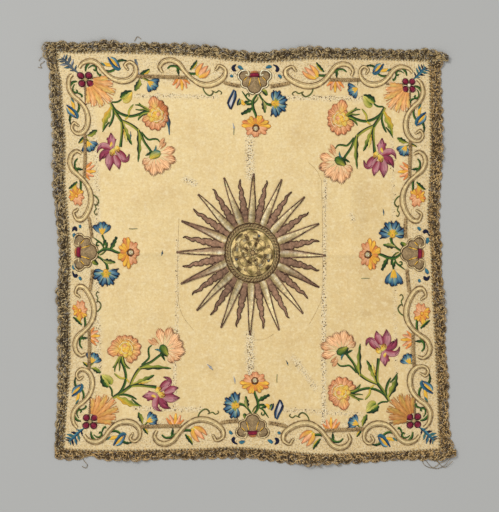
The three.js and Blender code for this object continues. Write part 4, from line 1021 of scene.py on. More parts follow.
def make_sun():
    """The sunburst: satin-padded rays, each an arched section from collar to tip, edged with couched cords.
    Straight rays taper evenly; waved rays swing from side to side as they taper."""
    work = Work(seed=31)
    gap = 2 * np.pi / SUN["rays"]
    for ray in range(SUN["rays"]):
        centre = ray * gap
        straight = ray % 2 == 0
        tip = STRAIGHT_TIP if straight else WAVED_TIP
        steps = 24 if straight else 44
        r = np.linspace(CORD_RADIUS + 0.9, tip, steps)
        t = np.clip((r - NOTCH_RADIUS) / (tip - NOTCH_RADIUS), 0, 1)
        if straight:
            half = np.minimum(5.0 * (1 - t) + 0.8, r * gap * 0.62)
            swing = 0.25 * np.sin(t * 7 + ray)
        else:
            half = np.minimum(4.5 * (1 - t**2.0) * (1 - 0.22 * t) + 0.5, r * gap * 0.5)
            step = 2 * np.pi * 3.7 * t + (ray % 4) * 0.7
            half = half * (1 + 0.16 * np.sin(step * 1.9 + 1.9) * (t > 0.1))
            swing = 0.8 * (np.sin(step) + 0.35 * np.sin(2 * step)) * mix(0.6, 1.2, t) * np.clip(t * 6, 0, 1)
        cos, sin = np.cos(centre), np.sin(centre)
        path = np.stack([r * cos - swing * sin, r * sin + swing * cos], -1)
        tangent = np.stack([np.gradient(path[:, 0]), np.gradient(path[:, 1])], -1)
        tangent /= np.hypot(tangent[:, 0], tangent[:, 1])[:, None]
        side = np.stack([-tangent[:, 1], tangent[:, 0]], -1)
        turn = np.linspace(0, np.pi, 9)
        across, arch = -np.cos(turn), np.sin(turn) ** 0.8
        crest = (1.6 if straight else 1.1) * (1 - 0.5 * t) * np.minimum(half / 2, 1)
        places = path[:, None] + side[:, None] * (half[:, None] * across)[..., None]
        points = np.concatenate([places, (0.1 + crest[:, None] * arch)[..., None]], -1)
        fill = FILLED_RAYS.get(ray // 2) if straight else "flame"
        if fill == "flame":
            colour = mix(dye("flame"), dye("flame_dark"), (np.abs(across)[None, :, None] ** 6) * np.ones((steps, 1,
                1)))
        else:
            bare = np.clip((t - 0.12) / 0.5, 0, 1)[:, None, None]
            colour = mix(dye("grey_gold"), dye("silk"), bare) * np.ones((1, 9, 1))
            if fill == "full":
                colour = mix(dye("grey_gold"), dye("flame"), np.clip(t * 1.6, 0, 1)[:, None, None]) * np.ones((1, 9,
                    1))
            elif fill == "half":
                colour = np.where((across > 0.1)[None, :, None] == (centre < 1), mix(colour, dye("flame"), 0.8),
                                  colour)
            elif fill == "grey":
                colour = mix(colour, dye("tan"), np.clip(t * 1.8 - 0.5, 0, 1)[:, None, None])
            # Painted shade and light: the padded part of a straight ray is darker on one side and lighter on the other,
            # with a painted white highlight along it, both fading out where the silk is bare
            colour = colour * mix(mix(0.78, 1.16, np.clip(across + 0.5, 0, 1))[None, :, None], 1.0, bare)
            light = 0.75 * np.exp(-((across - 0.3) ** 2) / 0.1)[None, :, None] * (1 - bare)
            colour = mix(colour, dye("white"), light * work.rng.uniform(0.2, 1, (steps, 1, 1)))
        blot = 1 + 0.6 * waves(r * 1.0, r * 0 + 7 * ray, 33, 5, 16, 5)[:, None, None]
        colour = colour * work.rng.uniform(0.9, 1.1, (steps, 9, 1)) * blot
        far = np.broadcast_to((r - r[0])[:, None], (steps, 9))
        wide = half[:, None] * across
        work.tube(points, np.stack([wide + 0.35 * far, far - 0.35 * wide], -1), colour)
        outline = "brown" if straight else "flame_dark"
        for hand in (-1, 1):
            edge = path + side * (hand * half)[:, None]
            edge[-1] = path[-1] + tangent[-1] * 0.6
            thick = np.full(steps, 0.85 if straight else 0.5)
            cord(work, edge[2:], thick[2:], 0.15, outline, 5, 1.0, "flame" if straight else None)
        if straight:
            disc(work, path[-1] + tangent[-1] * 0.4, 1.7, 0.2, 1.3, "flame", "brown", steps=10)
    for radius, thick, colour in ((CORD_RADIUS + 1.2, 0.7, "outline"), (CORD_RADIUS + 2.4, 0.6, "tan")):
        around = np.linspace(0, 2 * np.pi, 120)
        cord(work, radius * np.stack([np.cos(around), np.sin(around)], -1), thick, 0.5, colour, 6, 1.0, "brown")
    make_mesh("sun_rays", [work.laid(on_sun)], "gold", "gold_thread", "sunburst")


def make_medallion():
    """The medallion: a low dome of couched gold worked as a plain rosette of eight petals on a lattice."""
    work = Work(seed=37)
    around = np.linspace(0, 2 * np.pi, 96, endpoint=False)
    rim = MEDALLION_RADIUS * np.stack([np.cos(around), np.sin(around)], -1)
    share = np.linspace(0, 1, 23)[1:]
    heights = mix(2.2, 1.1, share**3)[:, None] + 0.25 * (np.cos(8 * around)[None] * np.sin(np.pi * share)[:, None])
    tone = 0.5 + 0.5 * np.cos(8 * around)[None] * np.sin(np.pi * share[:, None] * 1.4)
    swirl = 1 + 1.6 * waves(23 * share[:, None] * np.cos(around), 23 * share[:, None] * np.sin(around), 39, 14, 12, 4)
    tone = np.clip(tone * 1.2 * swirl, 0, 1)
    colour = mix(dye("olive") * (0.5, 0.42, 0.24), dye("silk") * (1.06, 1.0, 0.8), tone[..., None])
    speck = np.repeat(np.repeat(work.rng.uniform(0, 1, (len(share) // 2, 24, 1)), 2, axis=0), 4, axis=1)
    colour = np.where(speck > 0.78, mix(colour, dye("brown"), 0.8), colour)
    colour = np.where(speck < 0.12, mix(colour, dye("cream"), 0.5), colour)
    colour = np.where((speck > 0.5) & (speck < 0.54), mix(colour, dye("slate"), 0.6), colour)
    work.mound((np.zeros(2), rim, 0.0), heights, 0.6, colour)

    def line(points, thick, colour, other):
        r = np.hypot(points[:, 0], points[:, 1]) / MEDALLION_RADIUS
        up = mix(2.2, 1.1, np.clip(r, 0, 1) ** 3) + 0.1
        cord(work, np.concatenate([points, up[:, None]], -1), thick, 0.0, colour, 5, 0.9, other)

    for k in range(8):
        t = np.linspace(0, 1, 26)
        wide = 0.36 * np.sin(np.pi * t)
        r = mix(4.5, 27.5, np.sin(np.pi * t / 2)) if k % 2 == 0 else mix(4.5, 22, np.sin(np.pi * t / 2))
        for hand in (-1, 1):
            turn = 2 * np.pi * k / 8 + hand * wide
            line(np.stack([r * np.cos(turn), r * np.sin(turn)], -1), 0.42, "outline", "tan")
        turn = 2 * np.pi * (k + 0.5) / 8
        disc(work, (24.0 * np.cos(turn), 24.0 * np.sin(turn)), 2.0, 1.5, 0.9, "grey_blue" if k % 3 == 1 else "tan",
             "brown")
    for radius in (6.2, 15.5):
        line(radius * np.stack([np.cos(around), np.sin(around)], -1), 0.5, "tan", "olive")
    disc(work, (0.0, 0.0), 4.2, 2.0, 1.4, "tan", "brown")
    make_mesh("gold_medallion", [work.laid(on_sun)], "gold", "gold_thread", "medallion")
    ring = Work(seed=38)
    turn = np.linspace(0, 2 * np.pi, 361)
    for radius, twists, seed, tints in ((CORD_RADIUS - 1.6, 52, 1, ("grey_gold", "outline")),
                                        (MEDALLION_RADIUS + 1.6, 46, 2, ("tan", "olive"))):
        wander = 0.5 * waves(turn * 36, turn * 0, seed, 6, 34, 8)
        for k in range(2):
            twist = twists * turn + k * np.pi + 3 * wander
            r = radius + 0.75 * np.cos(twist) + wander
            cord(ring, np.stack([r * np.cos(turn), r * np.sin(turn), 0.7 + 0.3 * np.sin(twist)], -1), 1.0, 0.0,
                 tints[k], 5, 0.9, "couched")
    cord(ring, (MEDALLION_RADIUS + 3.6) * np.stack([np.cos(turn), np.sin(turn)], -1)[::2], 0.5, 1.0, "brown", 5)
    make_mesh("medallion_rope", [ring.laid(on_sun)], "gold", "gold_thread", "medallion_cord")


def make_scrolls(side):
    """The padded scrolls of one side: a satin band with an arched section, and a couched cord on both edges."""
    parts, tone = [], {"top": 1.0, "left": 0.97, "right": 0.88, "bottom": 0.84}[side]
    for hand in (-1, 1):
        work = Work(seed=41, handed=-1)
        for rows in SCROLLS.values():
            path, half, tangent, far, _ = spine_of(rows, 2.0)
            turn = np.linspace(0, np.pi, 9)
            across, arch = -np.cos(turn), np.sin(turn) ** 0.8
            side_way = np.stack([-tangent[:, 1], tangent[:, 0]], -1)
            places = path[:, None] + side_way[:, None] * (half[:, None] * across)[..., None]
            rise = np.minimum(half / 2.4, 1)[:, None] * 1.35
            points = np.concatenate([places, (0.1 + rise * arch)[..., None]], -1)
            # Painted highlight: a cream stripe along the crest of the band, a little off its middle
            colour = mix(dye("satin"), dye("cream") * 1.04, (np.exp(-((across - 0.25) ** 2) / 0.12))[None, :, None])
            # Painted shade: the band darkens towards both edges, more on the right and bottom sides; blot carries this
            # shade with the side's tone and random blotches
            painted_flank_shade = 1 - mix(0.14, 0.34, (1 - tone) / 0.16) * np.abs(across) ** 2
            blot = painted_flank_shade[None, :, None] * mix(1, tone, 0.6) * (1 + 0.22 * waves(far, far * 0 + half[0] * 9, 46, 6,
                30, 5))[:, None, None]
            colour = colour * work.rng.uniform(0.82, 1.14, (len(path), 9, 1)) * blot * np.array([1.0, 0.985, 0.96])
            wide = half[:, None] * across
            length = np.broadcast_to(far[:, None], wide.shape)
            work.tube(points, np.stack([wide + 0.5 * length, length - 0.5 * wide], -1), colour)
            for hand_of_edge in (-1, 1):
                edge = path + side_way * (hand_of_edge * (half + 0.25))[:, None]
                cord(work, edge, 0.66, 0.1, "outline", 5, 1.0, "tan")
            inner = path + side_way * (0.42 * half)[:, None]
            cord(work, np.c_[inner, rise[:, 0] * 0.86][3:-3], 0.34, 0.1, "tan", 4, 1.0, "outline")
            curl = path[-1] + tangent[-1] * 1.2
            disc(work, curl, 1.9, 0.2, 1.1, "satin", "outline")
        parts.append(laid_half(work, side, hand))
    make_mesh(f"scrollwork_{side}", parts, "pale", "pale_thread",
              *(f"scroll_{side}_{half}_{place}" for half in "ab" for place in ("inner", "outer")))


def make_braids(side):
    """The framing braid of one side: two plies twisted round each other, flattened, couched in straight lengths."""
    parts = []
    for hand in (-1, 1):
        work = Work(seed=43, handed=-1)
        for start, end, deep in ((a - 2.0 * (a < 50), b, deep) for a, b, deep in BRAIDS.values()):
            along = np.linspace(start, end, int((end - start) / 0.6) + 1)
            drift = waves(along, along * 0, 45, 6, 14, 5)
            deep = deep + 0.14 * np.clip(40 - along, 0, 16)
            for k in range(2):
                twist = along * 2 * np.pi / 5.4 + k * np.pi + 1.5 * drift
                path = np.stack([along, deep + 1.3 * np.cos(twist) + 0.5 * drift, 0.3 + 0.3 * np.sin(twist)], -1)
                cord(work, path, 1.35 + 0.25 * drift, 0.0, "tan", 6, 0.65, "outline")
        parts.append(laid_half(work, side, hand))
    make_mesh(f"frame_braid_{side}", parts, "gold", "gold_thread",
              *(f"braid_{side}_{half}_{place}" for half in "ab" for place in ("inner", "outer")))


# The palmette's outline: one half, from the bar at the top round to the foot. Columns: along, inward
PALMETTE_RIM = np.array([
    (4.2, -8.6), (6.2, -11.6), (9.4, -13.4), (13.4, -13.2), (17.6, -11.6), (20.6, -7.6), (19.8, -2.6), (16.6, 1.2),
    (16.9, 5.0), (14.6, 8.6), (10.0, 10.2), (7.6, 14.6), (4.4, 17.2), (0.0, 18.2),
])


def make_palmette(side):
    """A palmette: a low fluted dome inside a lobed outline, with gold lines between flutes and a cream cord round."""
    work = Work(seed=51)
    t = np.linspace(0, len(PALMETTE_RIM) - 1, 49)
    stations = np.arange(len(PALMETTE_RIM))
    right = np.stack([smooth_read(stations, PALMETTE_RIM[:, k], t) for k in (0, 1)], -1)
    rim = np.concatenate([right[:-1], (right * [-1, 1])[::-1][:-1], [[-3.4, -8.2], [0.0, -8.0], [3.4, -8.2]]])
    share = np.linspace(0, 1, 8)[1:]
    angle = np.arctan2(rim[:, 0], rim[:, 1])
    flute = np.abs(np.sin(angle * 2.1 + np.pi / 2))
    heights = (1.9 * np.sqrt(1 - share**2) + 0.15)[:, None] * mix(0.62, 1.0, flute)[None]
    # Painted light and shade: the fill is a lighter copy of the couched colour on the raised flutes and a darker copy
    # between them, darker again towards the rim
    colour = mix(dye("couched") * 0.72, dye("couched") * 1.12,
                 (flute[None] ** 0.6 * (1 - 0.5 * share[:, None] ** 4))[..., None])
    colour = colour * work.rng.uniform(0.8, 1.2, (len(share), len(rim), 1))
    work.mound((np.zeros(2), rim, 0.05), heights, 0.8, colour)
    bright = {"top": "cream", "left": "tan", "right": "tan", "bottom": "tan"}[side]
    curl = np.array([(11.4, -7.4), (9.4, -5.4), (7.2, -6.8), (7.2, -10.2), (9.4, -13.0)])
    for hand in (-1, 1):
        half = np.concatenate([curl, right[12:]]) * [hand, 1]
        round_path = spine_of(np.c_[half[::2], np.ones(len(half[::2]))], 1.0)[0]
        cord(work, round_path, 0.74, 0.35, bright, 6, 1.0, "white" if side == "top" else "cream")
        cord(work, round_path[6:] * 1.05 + [0, 0.2], 0.5, 0.05, "outline", 5, 1.0, "brown")
        cord(work, round_path[12:] * 0.93, 0.4, 0.8, "outline", 5)
        for x0, y0, x1, y1 in ((4.6, -3.2, 7.6, 7.8), (9.6, -4.0, 14.0, 0.4)):
            for offset, shade, up in ((0.0, "petal_yellow", 1.9), (0.95, "brown_line", 1.6)):
                blade(work, shade, up, ((x0 * hand + offset * hand, y0 - offset * 0.3, 0.5),
                                        ((x0 + x1) / 2 * hand + offset * hand, (y0 + y1) / 2 - offset * 0.3, 0.55),
                                        (x1 * hand + offset * hand * 0.6, y1 - offset * 0.3, 0.3)), dome=0.5)
    blade(work, "rose_rust", 1.2, ((-4.6, -10.2, 1.2), (0.0, -10.8, 1.6), (4.6, -10.2, 1.2)), dome=0.5, dark=0.35)
    blade(work, "crimson_bar", 1.5, ((-5.8, -6.9, 1.9), (0.0, -7.2, 2.7), (5.8, -6.9, 1.9)), dome=0.8)
    blade(work, "wine_line", 1.6, ((-7.6, -4.5, 0.6), (0.0, -4.8, 0.8), (7.0, -4.5, 0.6)), dome=0.6)
    grow = {"top": 1.04, "right": 1.0, "bottom": 1.03, "left": 1.07}[side]
    placed = work.laid(palmette_place(side, grow))
    make_mesh(f"gold_palmette_{side}", [placed], "gold", "gold_thread", f"palmette_{side}")


# The plumes of a corner shell. Columns: angle, reach, half width, bend in degrees at the tip
PLUMES = np.array([
    (2, 32, 3.0, -4), (15, 38, 3.4, -5), (29, 44, 3.6, -4), (43, 46, 3.4, 0), (56, 43, 3.5, 4), (69, 38, 3.2, 6),
    (82, 33, 2.8, 6),
])


def make_shell(corner):
    """A corner shell: seven frilled plumes fanned from one root, with rust lines between and light quills."""
    work = Work(seed=61)
    for k, (angle, reach, half, bend) in enumerate(PLUMES):
        t = np.linspace(0, 1, 6)
        r = mix(11.0, reach, t)
        turn = np.radians(angle + bend * t**2)
        path = np.stack([r * np.cos(turn), r * np.sin(turn)], -1)
        wide = half * np.array([0.5, 0.86, 1.1, 1.26, 1.24, 0.5])
        shade = "plume" if k % 2 else "plume_gold"
        blade(work, shade, 0.1, np.c_[path, wide], dome=1.5, columns=9, frill=0.2, frills=3.5, dark=0.02, sharp=0.8,
              edge=0.12)
        blade(work, "plume_light", 1.25, np.c_[path[1:5], [0.35, 0.6, 0.6, 0.25]], dome=0.4)
        for hand in (-1, 1):
            for spread, shade, up, thick in ((5.6, "plume_line", 0.85, 0.6), (2.8, "plume_cream", 1.1, 0.34),
                                             (4.3, "plume_light", 1.1, 0.36)):
                split = turn + hand * np.radians(spread)
                edge = np.stack([r * np.cos(split), r * np.sin(split), np.full(6, thick)], -1)
                blade(work, shade, up, edge[1:] if spread > 5 else edge[2:], dome=0.4)
    tone = {"bottom_right": (0.7, 0.62, 0.46), "bottom_left": (0.9, 0.81, 0.66)}.get(corner, (1.0, 0.97, 0.9))
    work.dyes = [colours * tone for colours in work.dyes]
    placed = work.laid(lambda x, y: from_corner(corner, x * SHELL_WIDE, y * SHELL_HIGH))
    make_mesh(f"peach_shell_{corner}", [placed], "floss", "peach_silk", f"shell_{corner}")


def make_quatrefoil(corner):
    """A four-petalled flower: four round satin domes with dark rims, and a knot in the middle."""
    work = Work(seed=67)
    for x, y in ((-4.9, -5.1), (5.1, -5.2), (-5.1, 5.1), (5.5, 5.4)):
        disc(work, (x, y), 4.8, 0.3, 2.3, "crimson", "wine", steps=22)
        for k in range(5):
            turn = np.arctan2(y, x) + (k - 2) * 0.42
            tip = (x + 4.0 * np.cos(turn), y + 4.0 * np.sin(turn))
            blade(work, "iris_dark", 1.9, ((x * 0.45, y * 0.45, 0.4), ((x + tip[0]) / 2, (y + tip[1]) / 2, 0.7),
                                         (*tip, 0.3)), dome=0.5)
    disc(work, (0.0, 0.0), 2.9, 1.1, 1.2, "white" if corner == "top_right" else "tan", "olive")
    for x, y in ((0, -2.8), (0, 2.8), (-2.8, 0), (2.8, 0)):
        disc(work, (x, y), 1.1, 0.9, 0.8, "olive", "brown", steps=8)
    placed = work.laid(lambda x, y: from_corner(corner, x, y))
    make_mesh(f"crimson_flower_{corner}", [placed], "floss", "crimson_silk", f"quatrefoil_{corner}")


# ---------------------------------------------------------------- flowers


def stitch(work, rows):
    """Each row of a table as one stitched shape. The edges of leaves are notched."""
    for shade, level, spine in rows:
        blade(work, shade, level, spine, frill=0.24 if shade.startswith("leaf") else 0.0, frills=3.4, step=1.6)


# Petals. Columns: shade, level, angle, start, reach, half width
ROSE = (
    ("rose_gold", 0.3, -98, 5, 24, 7.2), ("rose_rust", 0.25, -66, 6, 20, 6.4), ("rose_rust", 0.35, -34, 6, 18.5, 6),
    ("rose_rust", 0.3, -4, 6, 17, 5.4), ("rose_outer", 0.4, 26, 6, 18, 5.6), ("rose_outer", 0.3, 54, 6, 19.5, 5.6),
    ("rose_outer", 0.4, 80, 6, 21, 5.6), ("rose_outer", 0.3, 105, 6, 20.5, 5.4), ("rose_outer", 0.4, 130, 6, 19.5,
        5.4),
    ("rose_gold", 0.3, 154, 5, 19, 5.2), ("rose_gold", 0.35, -130, 4, 13, 4.6),
    ("rose_inner", 0.75, -70, 1, 11, 4.6), ("rose_inner", 0.8, -20, 1, 11.5, 4.6), ("rose_inner", 0.75, 30, 1, 11.5,
        4.8),
    ("rose_inner", 0.8, 80, 1, 11.5, 4.8), ("rose_heart", 0.75, 130, 1, 12, 4.8), ("rose_heart", 0.8, 180, 1, 11,
        4.4),
    ("rose_heart", 0.75, -125, 1, 10, 4.2), ("rose_outer", 1.1, -10, 0, 6.4, 3.2), ("rose_inner", 1.1, 70, 0, 6.4,
        3.2),
    ("rose_heart", 1.1, 160, 0, 6.4, 3.2), ("rose_heart", 1.15, -90, 0, 6, 3),
)
# The rings of light stitches that part its petals. Columns: radius, from, to, half width
ROSE_RINGS = ((8.6, -80, 20, 0.55), (9.2, 30, 110, 0.5), (5.4, 150, 300, 0.45), (12.6, -10, 60, 0.4))
PINK = (
    ("pink", 0.3, -60, 9, 24, 2.8), ("pink", 0.35, -47, 10, 21, 2.2), ("pink", 0.35, -16, 6, 26.5, 5.8),
    ("pink", 0.3, 16, 9, 28, 6.2), ("pink_deep", 0.4, 42, 6, 26, 6.6), ("pink_deep", 0.3, 68, 6, 25.5, 6.4),
    ("pink_deep", 0.4, 93, 6, 26.5, 6.8), ("pink", 0.3, 116, 5, 22.5, 6.2), ("pink", 0.4, 140, 4, 18.5, 5.4),
)
# The iris. Columns: shade, level, spine rows
IRIS = (
    ("iris", 0.35, ((-1.5, -5, 1.8), (-2.6, -11, 4.2), (-2.9, -17, 4.0), (-3.6, -24.5, 0.5))),
    ("iris_dark", 0.3, ((-4.6, -15, 0.6), (-7.6, -17.4, 1.4), (-9, -15, 0.4))),
    ("iris_dark", 0.3, ((1.2, -14, 0.6), (2.6, -16.6, 1.3), (2.2, -13, 0.4))),
    ("iris", 0.45, ((-1.5, -3, 1.6), (-8.6, -6.6, 3.6), (-15.6, -7.4, 3.2), (-20, -3.4, 1.6), (-21.6, 1.8, 0.3))),
    ("iris_dark", 0.4, ((-3, -0.8, 1.4), (-10, 1.2, 3.8), (-15.6, 5.4, 3.0), (-18.4, 13, 0.4))),
    ("iris_dark", 0.35, ((-4, 3, 1.2), (-10.6, 4.4, 3.0), (-14.4, 9.6, 0.6))),
    ("iris", 0.55, ((-2, 0.4, 2.0), (-4.8, 8.4, 4.6), (-5.6, 16.8, 4.2), (-5.2, 25.4, 0.4))),
    ("iris", 0.5, ((1.2, 5, 1.6), (4.2, 12.4, 4.2), (6.4, 18, 3.0), (7.4, 23.4, 0.4))),
    ("iris", 0.45, ((3.4, -2, 1.8), (9.4, 4.2, 4.2), (14.6, 10.6, 3.8), (18.8, 9.2, 1.9), (20.6, 3.6, 0.4))),
    ("iris_dark", 0.7, ((9.4, 9.6, 0.5), (14.6, 13.2, 0.9), (19.4, 11.4, 0.8), (21, 5, 0.3))),
    ("iris_dark", 0.75, ((4.8, -1, 0.4), (8.6, 3, 0.7), (10.6, 7.6, 0.3))),
    ("iris_dark", 0.75, ((-1.4, 6.6, 0.4), (0, 13, 0.8), (2.4, 17, 0.3))),
    ("iris_heart", 0.8, ((3.4, -7, 1.4), (5, -3, 2.9), (7, 1.4, 1.0))),
    ("iris_heart", 0.85, ((1, -3.6, 1.2), (-1.8, 1.2, 3.2), (-3.2, 6, 1.2))),
    ("iris_heart", 0.7, ((-4.6, -6, 0.6), (-2.8, -9.4, 1.6), (-2.6, -12.6, 0.6))),
)


def rose(work, x, y, worked):
    """A garden rose: three rounds of ruffled petals with dark stitches between. worked swaps the shades of a corner."""
    for k, (shade, level, angle, start, reach, half) in enumerate(ROSE):
        outer = level < 0.6
        petal(work, worked.get(shade, shade), level, (x, y), angle, start, reach, half, 1.5 if outer else 1.1,
              teeth=1.6 if outer else 0.4, columns=9, frill=0.08, sharp=0.9, edge=0.1 if outer else 0.3)
        if outer:
            for away, near, far in ((-9, 0.55, 0.97), (2, 0.66, 1.0), (11, 0.55, 0.95)):
                rows = spoke((x, y), np.radians(angle + away),
                             ((reach * near, 0.12), (reach * (near + far) / 2, 0.32), (reach * far, 0.18)))
                blade(work, "plume_line" if k % 2 else "rust_line", 0.85, rows, dome=0.3)
    for radius, start, end, half in ROSE_RINGS:
        around = np.radians(np.linspace(start, end, 6))
        rows = np.stack([x + radius * np.cos(around), y + radius * np.sin(around),
                         half * np.array([0.4, 1, 1, 1, 1, 0.4])], -1)
        blade(work, "plume_light", 1.5, rows, dome=0.3)


def carnation(work, x, y):
    """A pink: wedge petals fanned from the calyx, saw-toothed at the rim, with dark stitches that fan through them."""
    for k, (shade, level, angle, start, reach, half) in enumerate(PINK):
        petal(work, shade, level, (x, y), angle, start, reach, half, 2.4, teeth=2.8, columns=11, sharp=1.0, edge=0.05)
        for away in (-10, -3, 4, 11):
            near = 0.5 + 0.06 * ((k + away) % 4)
            rows = spoke((x, y), np.radians(angle + away * half / 6.5),
                         ((reach * near, 0.12), (reach * 0.8, 0.26), (reach * 0.98, 0.14)))
            blade(work, "plume_line" if (k + away) % 4 else "rust_line", 0.85, rows, dome=0.3)


def bell(work, x, y, turn, reach, spread, throat=0.55):
    """A small blue flower seen from the side: scalloped petals fanned from a yellow throat."""
    for k, away in enumerate(np.linspace(-spread, spread, 6)):
        long = reach * (1.0, 0.92, 1.04)[k % 3]
        petal(work, "blue_pale" if k in (1, 3) else "blue_petal", 0.35 + 0.1 * (k % 2), (x, y), turn + away, 1.0,
              long,
              reach * 0.19, 1.7, teeth=0.8, columns=9, sharp=0.6)
        rows = spoke((x, y), np.radians(turn + away + spread / 5),
                     ((reach * 0.6, 0.2), (reach * 0.85, 0.5), (reach * 1.02, 0.4)))
        blade(work, "comma_navy", 0.75, rows, dome=0.3)
    for away in (-0.55, 0.0, 0.55):
        petal(work, "petal_yellow", 0.8, (x, y), turn + away * spread, 0.0, reach * throat, reach * 0.1, 1.2,
              step=1.4)


def iris(work, x, y):
    """The crimson iris: three standards, falls with dark rims, and a yellow heart."""
    for shade, level, rows in IRIS:
        rows = np.array(rows, float) * (1.0, 1.0, 1.22)
        rows[:, :2] += (x, y)
        blade(work, shade, level, rows, columns=9, sharp=0.7, teeth=0.5)
        if np.max(rows[:, 2]) > 3.4:
            run = np.gradient(rows[:, :2], axis=0)
            across = np.stack([-run[:, 1], run[:, 0]], -1) / np.hypot(run[:, 0], run[:, 1])[:, None]
            for away, vein in ((-0.5, "wine_line"), (0.05, "iris_dark"), (0.5, "wine_line")):
                line = np.c_[rows[:, :2] + across * rows[:, 2:] * away, np.full(len(rows), 0.34)]
                blade(work, vein, level + 0.5, line[2:] if len(line) > 4 else line[-2:], dome=0.4)


def marigold(work, x, y, turn, radius, flat=1.0):
    """A small round flower: toothed petals all round in two colours and dark stitches between; its eye is stitched
    where it is used.
    """
    for k in range(18):
        angle = np.degrees(2 * np.pi * k / 18) + turn + 4 * np.sin(5 * k)
        up = np.sin(np.radians(angle - turn)) < 0.15
        reach = radius * (1.0, 0.8, 0.93, 0.74, 0.97)[k % 5] * np.hypot(np.cos(np.radians(angle - turn)),
                                                                       flat * np.sin(np.radians(angle - turn)))
        shade = ("marigold_up", "hanging", "marigold_up")[k % 3] if up else ("marigold_down", "rose_outer")[k % 2]
        petal(work, shade, 0.3 + 0.1 * (k % 2), (x, y), angle, radius * 0.15, reach, radius * 0.18, 1.7, teeth=1.0,
              sharp=0.9,
              edge=0.12)
        rows = spoke((x, y), np.radians(angle + 10),
                     ((reach * 0.4, 0.2), (reach * 0.65, radius * 0.03), (reach * 0.93, 0.25)))
        blade(work, "rust_line" if up else "plume_line", 0.7, rows, dome=0.3)


# ---------------------------------------------------------------- sprays

# Each corner spray. Columns: across and up stretch; the rose, the iris and the pink, as (right, down)
SPRAYS = {
    "top_left": ((1.0, 1.0), (90, 44.5), (34.5, 93), (88.5, 97.5)),
    "top_right": ((1.0, 1.04), (89, 43.5), (37.5, 92.5), (89, 98)),
    "bottom_left": ((0.99, 1.06), (91, 46), (35.5, 93), (89.5, 98)),
    "bottom_right": ((1.05, 0.97), (90, 41), (39, 101), (88.5, 97.5)),
}
# Which shades a corner works instead of the top left one's
WORKED = {
    "top_left": {},
    "top_right": {"rose_rust": "rose_outer", "calyx": "calyx_green", "bud_yellow": "bud_green"},
    "bottom_left": {"rose_rust": "rose_gold", "rose_outer": "rose_gold", "rose_inner": "rose_heart",
                    "calyx": "calyx_green",
                    "bud_yellow": "bud_green"},
    "bottom_right": {"rose_rust": "rose_outer", "calyx": "calyx_green", "bud_yellow": "bud_green",
                     "leaf_gold": "leaf_split"},
}


def make_corner_spray(corner):
    """The corner spray: stems and leaves from the table, then rose, iris and pink."""
    widths, rose_at, iris_at, pink_at = SPRAYS[corner]
    worked = WORKED[corner]
    work = Work(seed=71)
    stitch(work, [(worked.get(row[0], row[0]), *row[1:]) for row in CORNER_SPRAY])
    rose(work, *rose_at, worked)
    iris(work, *iris_at)
    carnation(work, *pink_at)
    make_mesh(f"corner_spray_{corner}", [work.laid(spray_place(corner, widths))], "floss", "peach_silk")
    leaf = Work(seed=73)
    for turned in (1, -1):
        for start in (6.0, 8.6, 11.2, 13.8, 16.4, 19.0, 21.6, 24.2, 26.8, 29.4):
            rows = np.array([(start, -2.2, 0.9), (start + 1.6, -1.4, 1.5), (start + 3.0, -0.4, 0.8)])
            rows[:, :2] = rows[:, :2][:, ::turned]
            blade(leaf, "braid_line", 0.05, rows, dome=0.6)
    shades = ("corner_leaf", "stray", "leaf_faded") if corner == "top_left" else ("corner_leaf_blue", "comma_navy",
        "leaf_teal")
    rows = np.array([(-6, -8, 0.7), (-11, -12, 1.5), (-17, -17.5, 2.2), (-22, -23, 1.8), (-27, -28, 0.4)])
    blade(leaf, shades[0], 0.3, rows, columns=9, frill=0.3, frills=4.5, teeth=0.8, step=1.2, sharp=0.5)
    for hand in (-1, 1):
        for k, (share, long) in enumerate(((0.22, 0.7), (0.42, 1.0), (0.6, 1.15), (0.78, 0.9), (0.9, 0.6))):
            root = np.array([mix(-6, -27, share), mix(-8, -28, share)])
            tip = root + long * (np.array([-3.4, -3.8]) + hand * np.array([6.0, -5.6]))
            blade(leaf, shades[(k + (hand > 0)) % 3], 0.35, ((*root, 0.8), (*((root + tip) / 2), 1.6 * long),
                                                             (*tip, 0.4)),
                  frill=0.2, frills=2.0, dark=0.05 * k)
    make_mesh(f"corner_leaf_{corner}", [leaf.laid(lambda x, y: from_corner(corner, x, y))], "floss", "peach_silk")


# Rows of the side spray that give way to a bell on the left and right sides
BELL_INSTEAD = ("trumpet_pale", "navy_line", "throat_green", "throat_yellow")
# How far each side's spray has been worked off its palmette's middle. Columns: along, inward
SIDE_SHIFTS = {"top": (0, 0), "right": (-3, -1.3), "bottom": (-4.8, -1.4), "left": (-1.2, -1.3)}


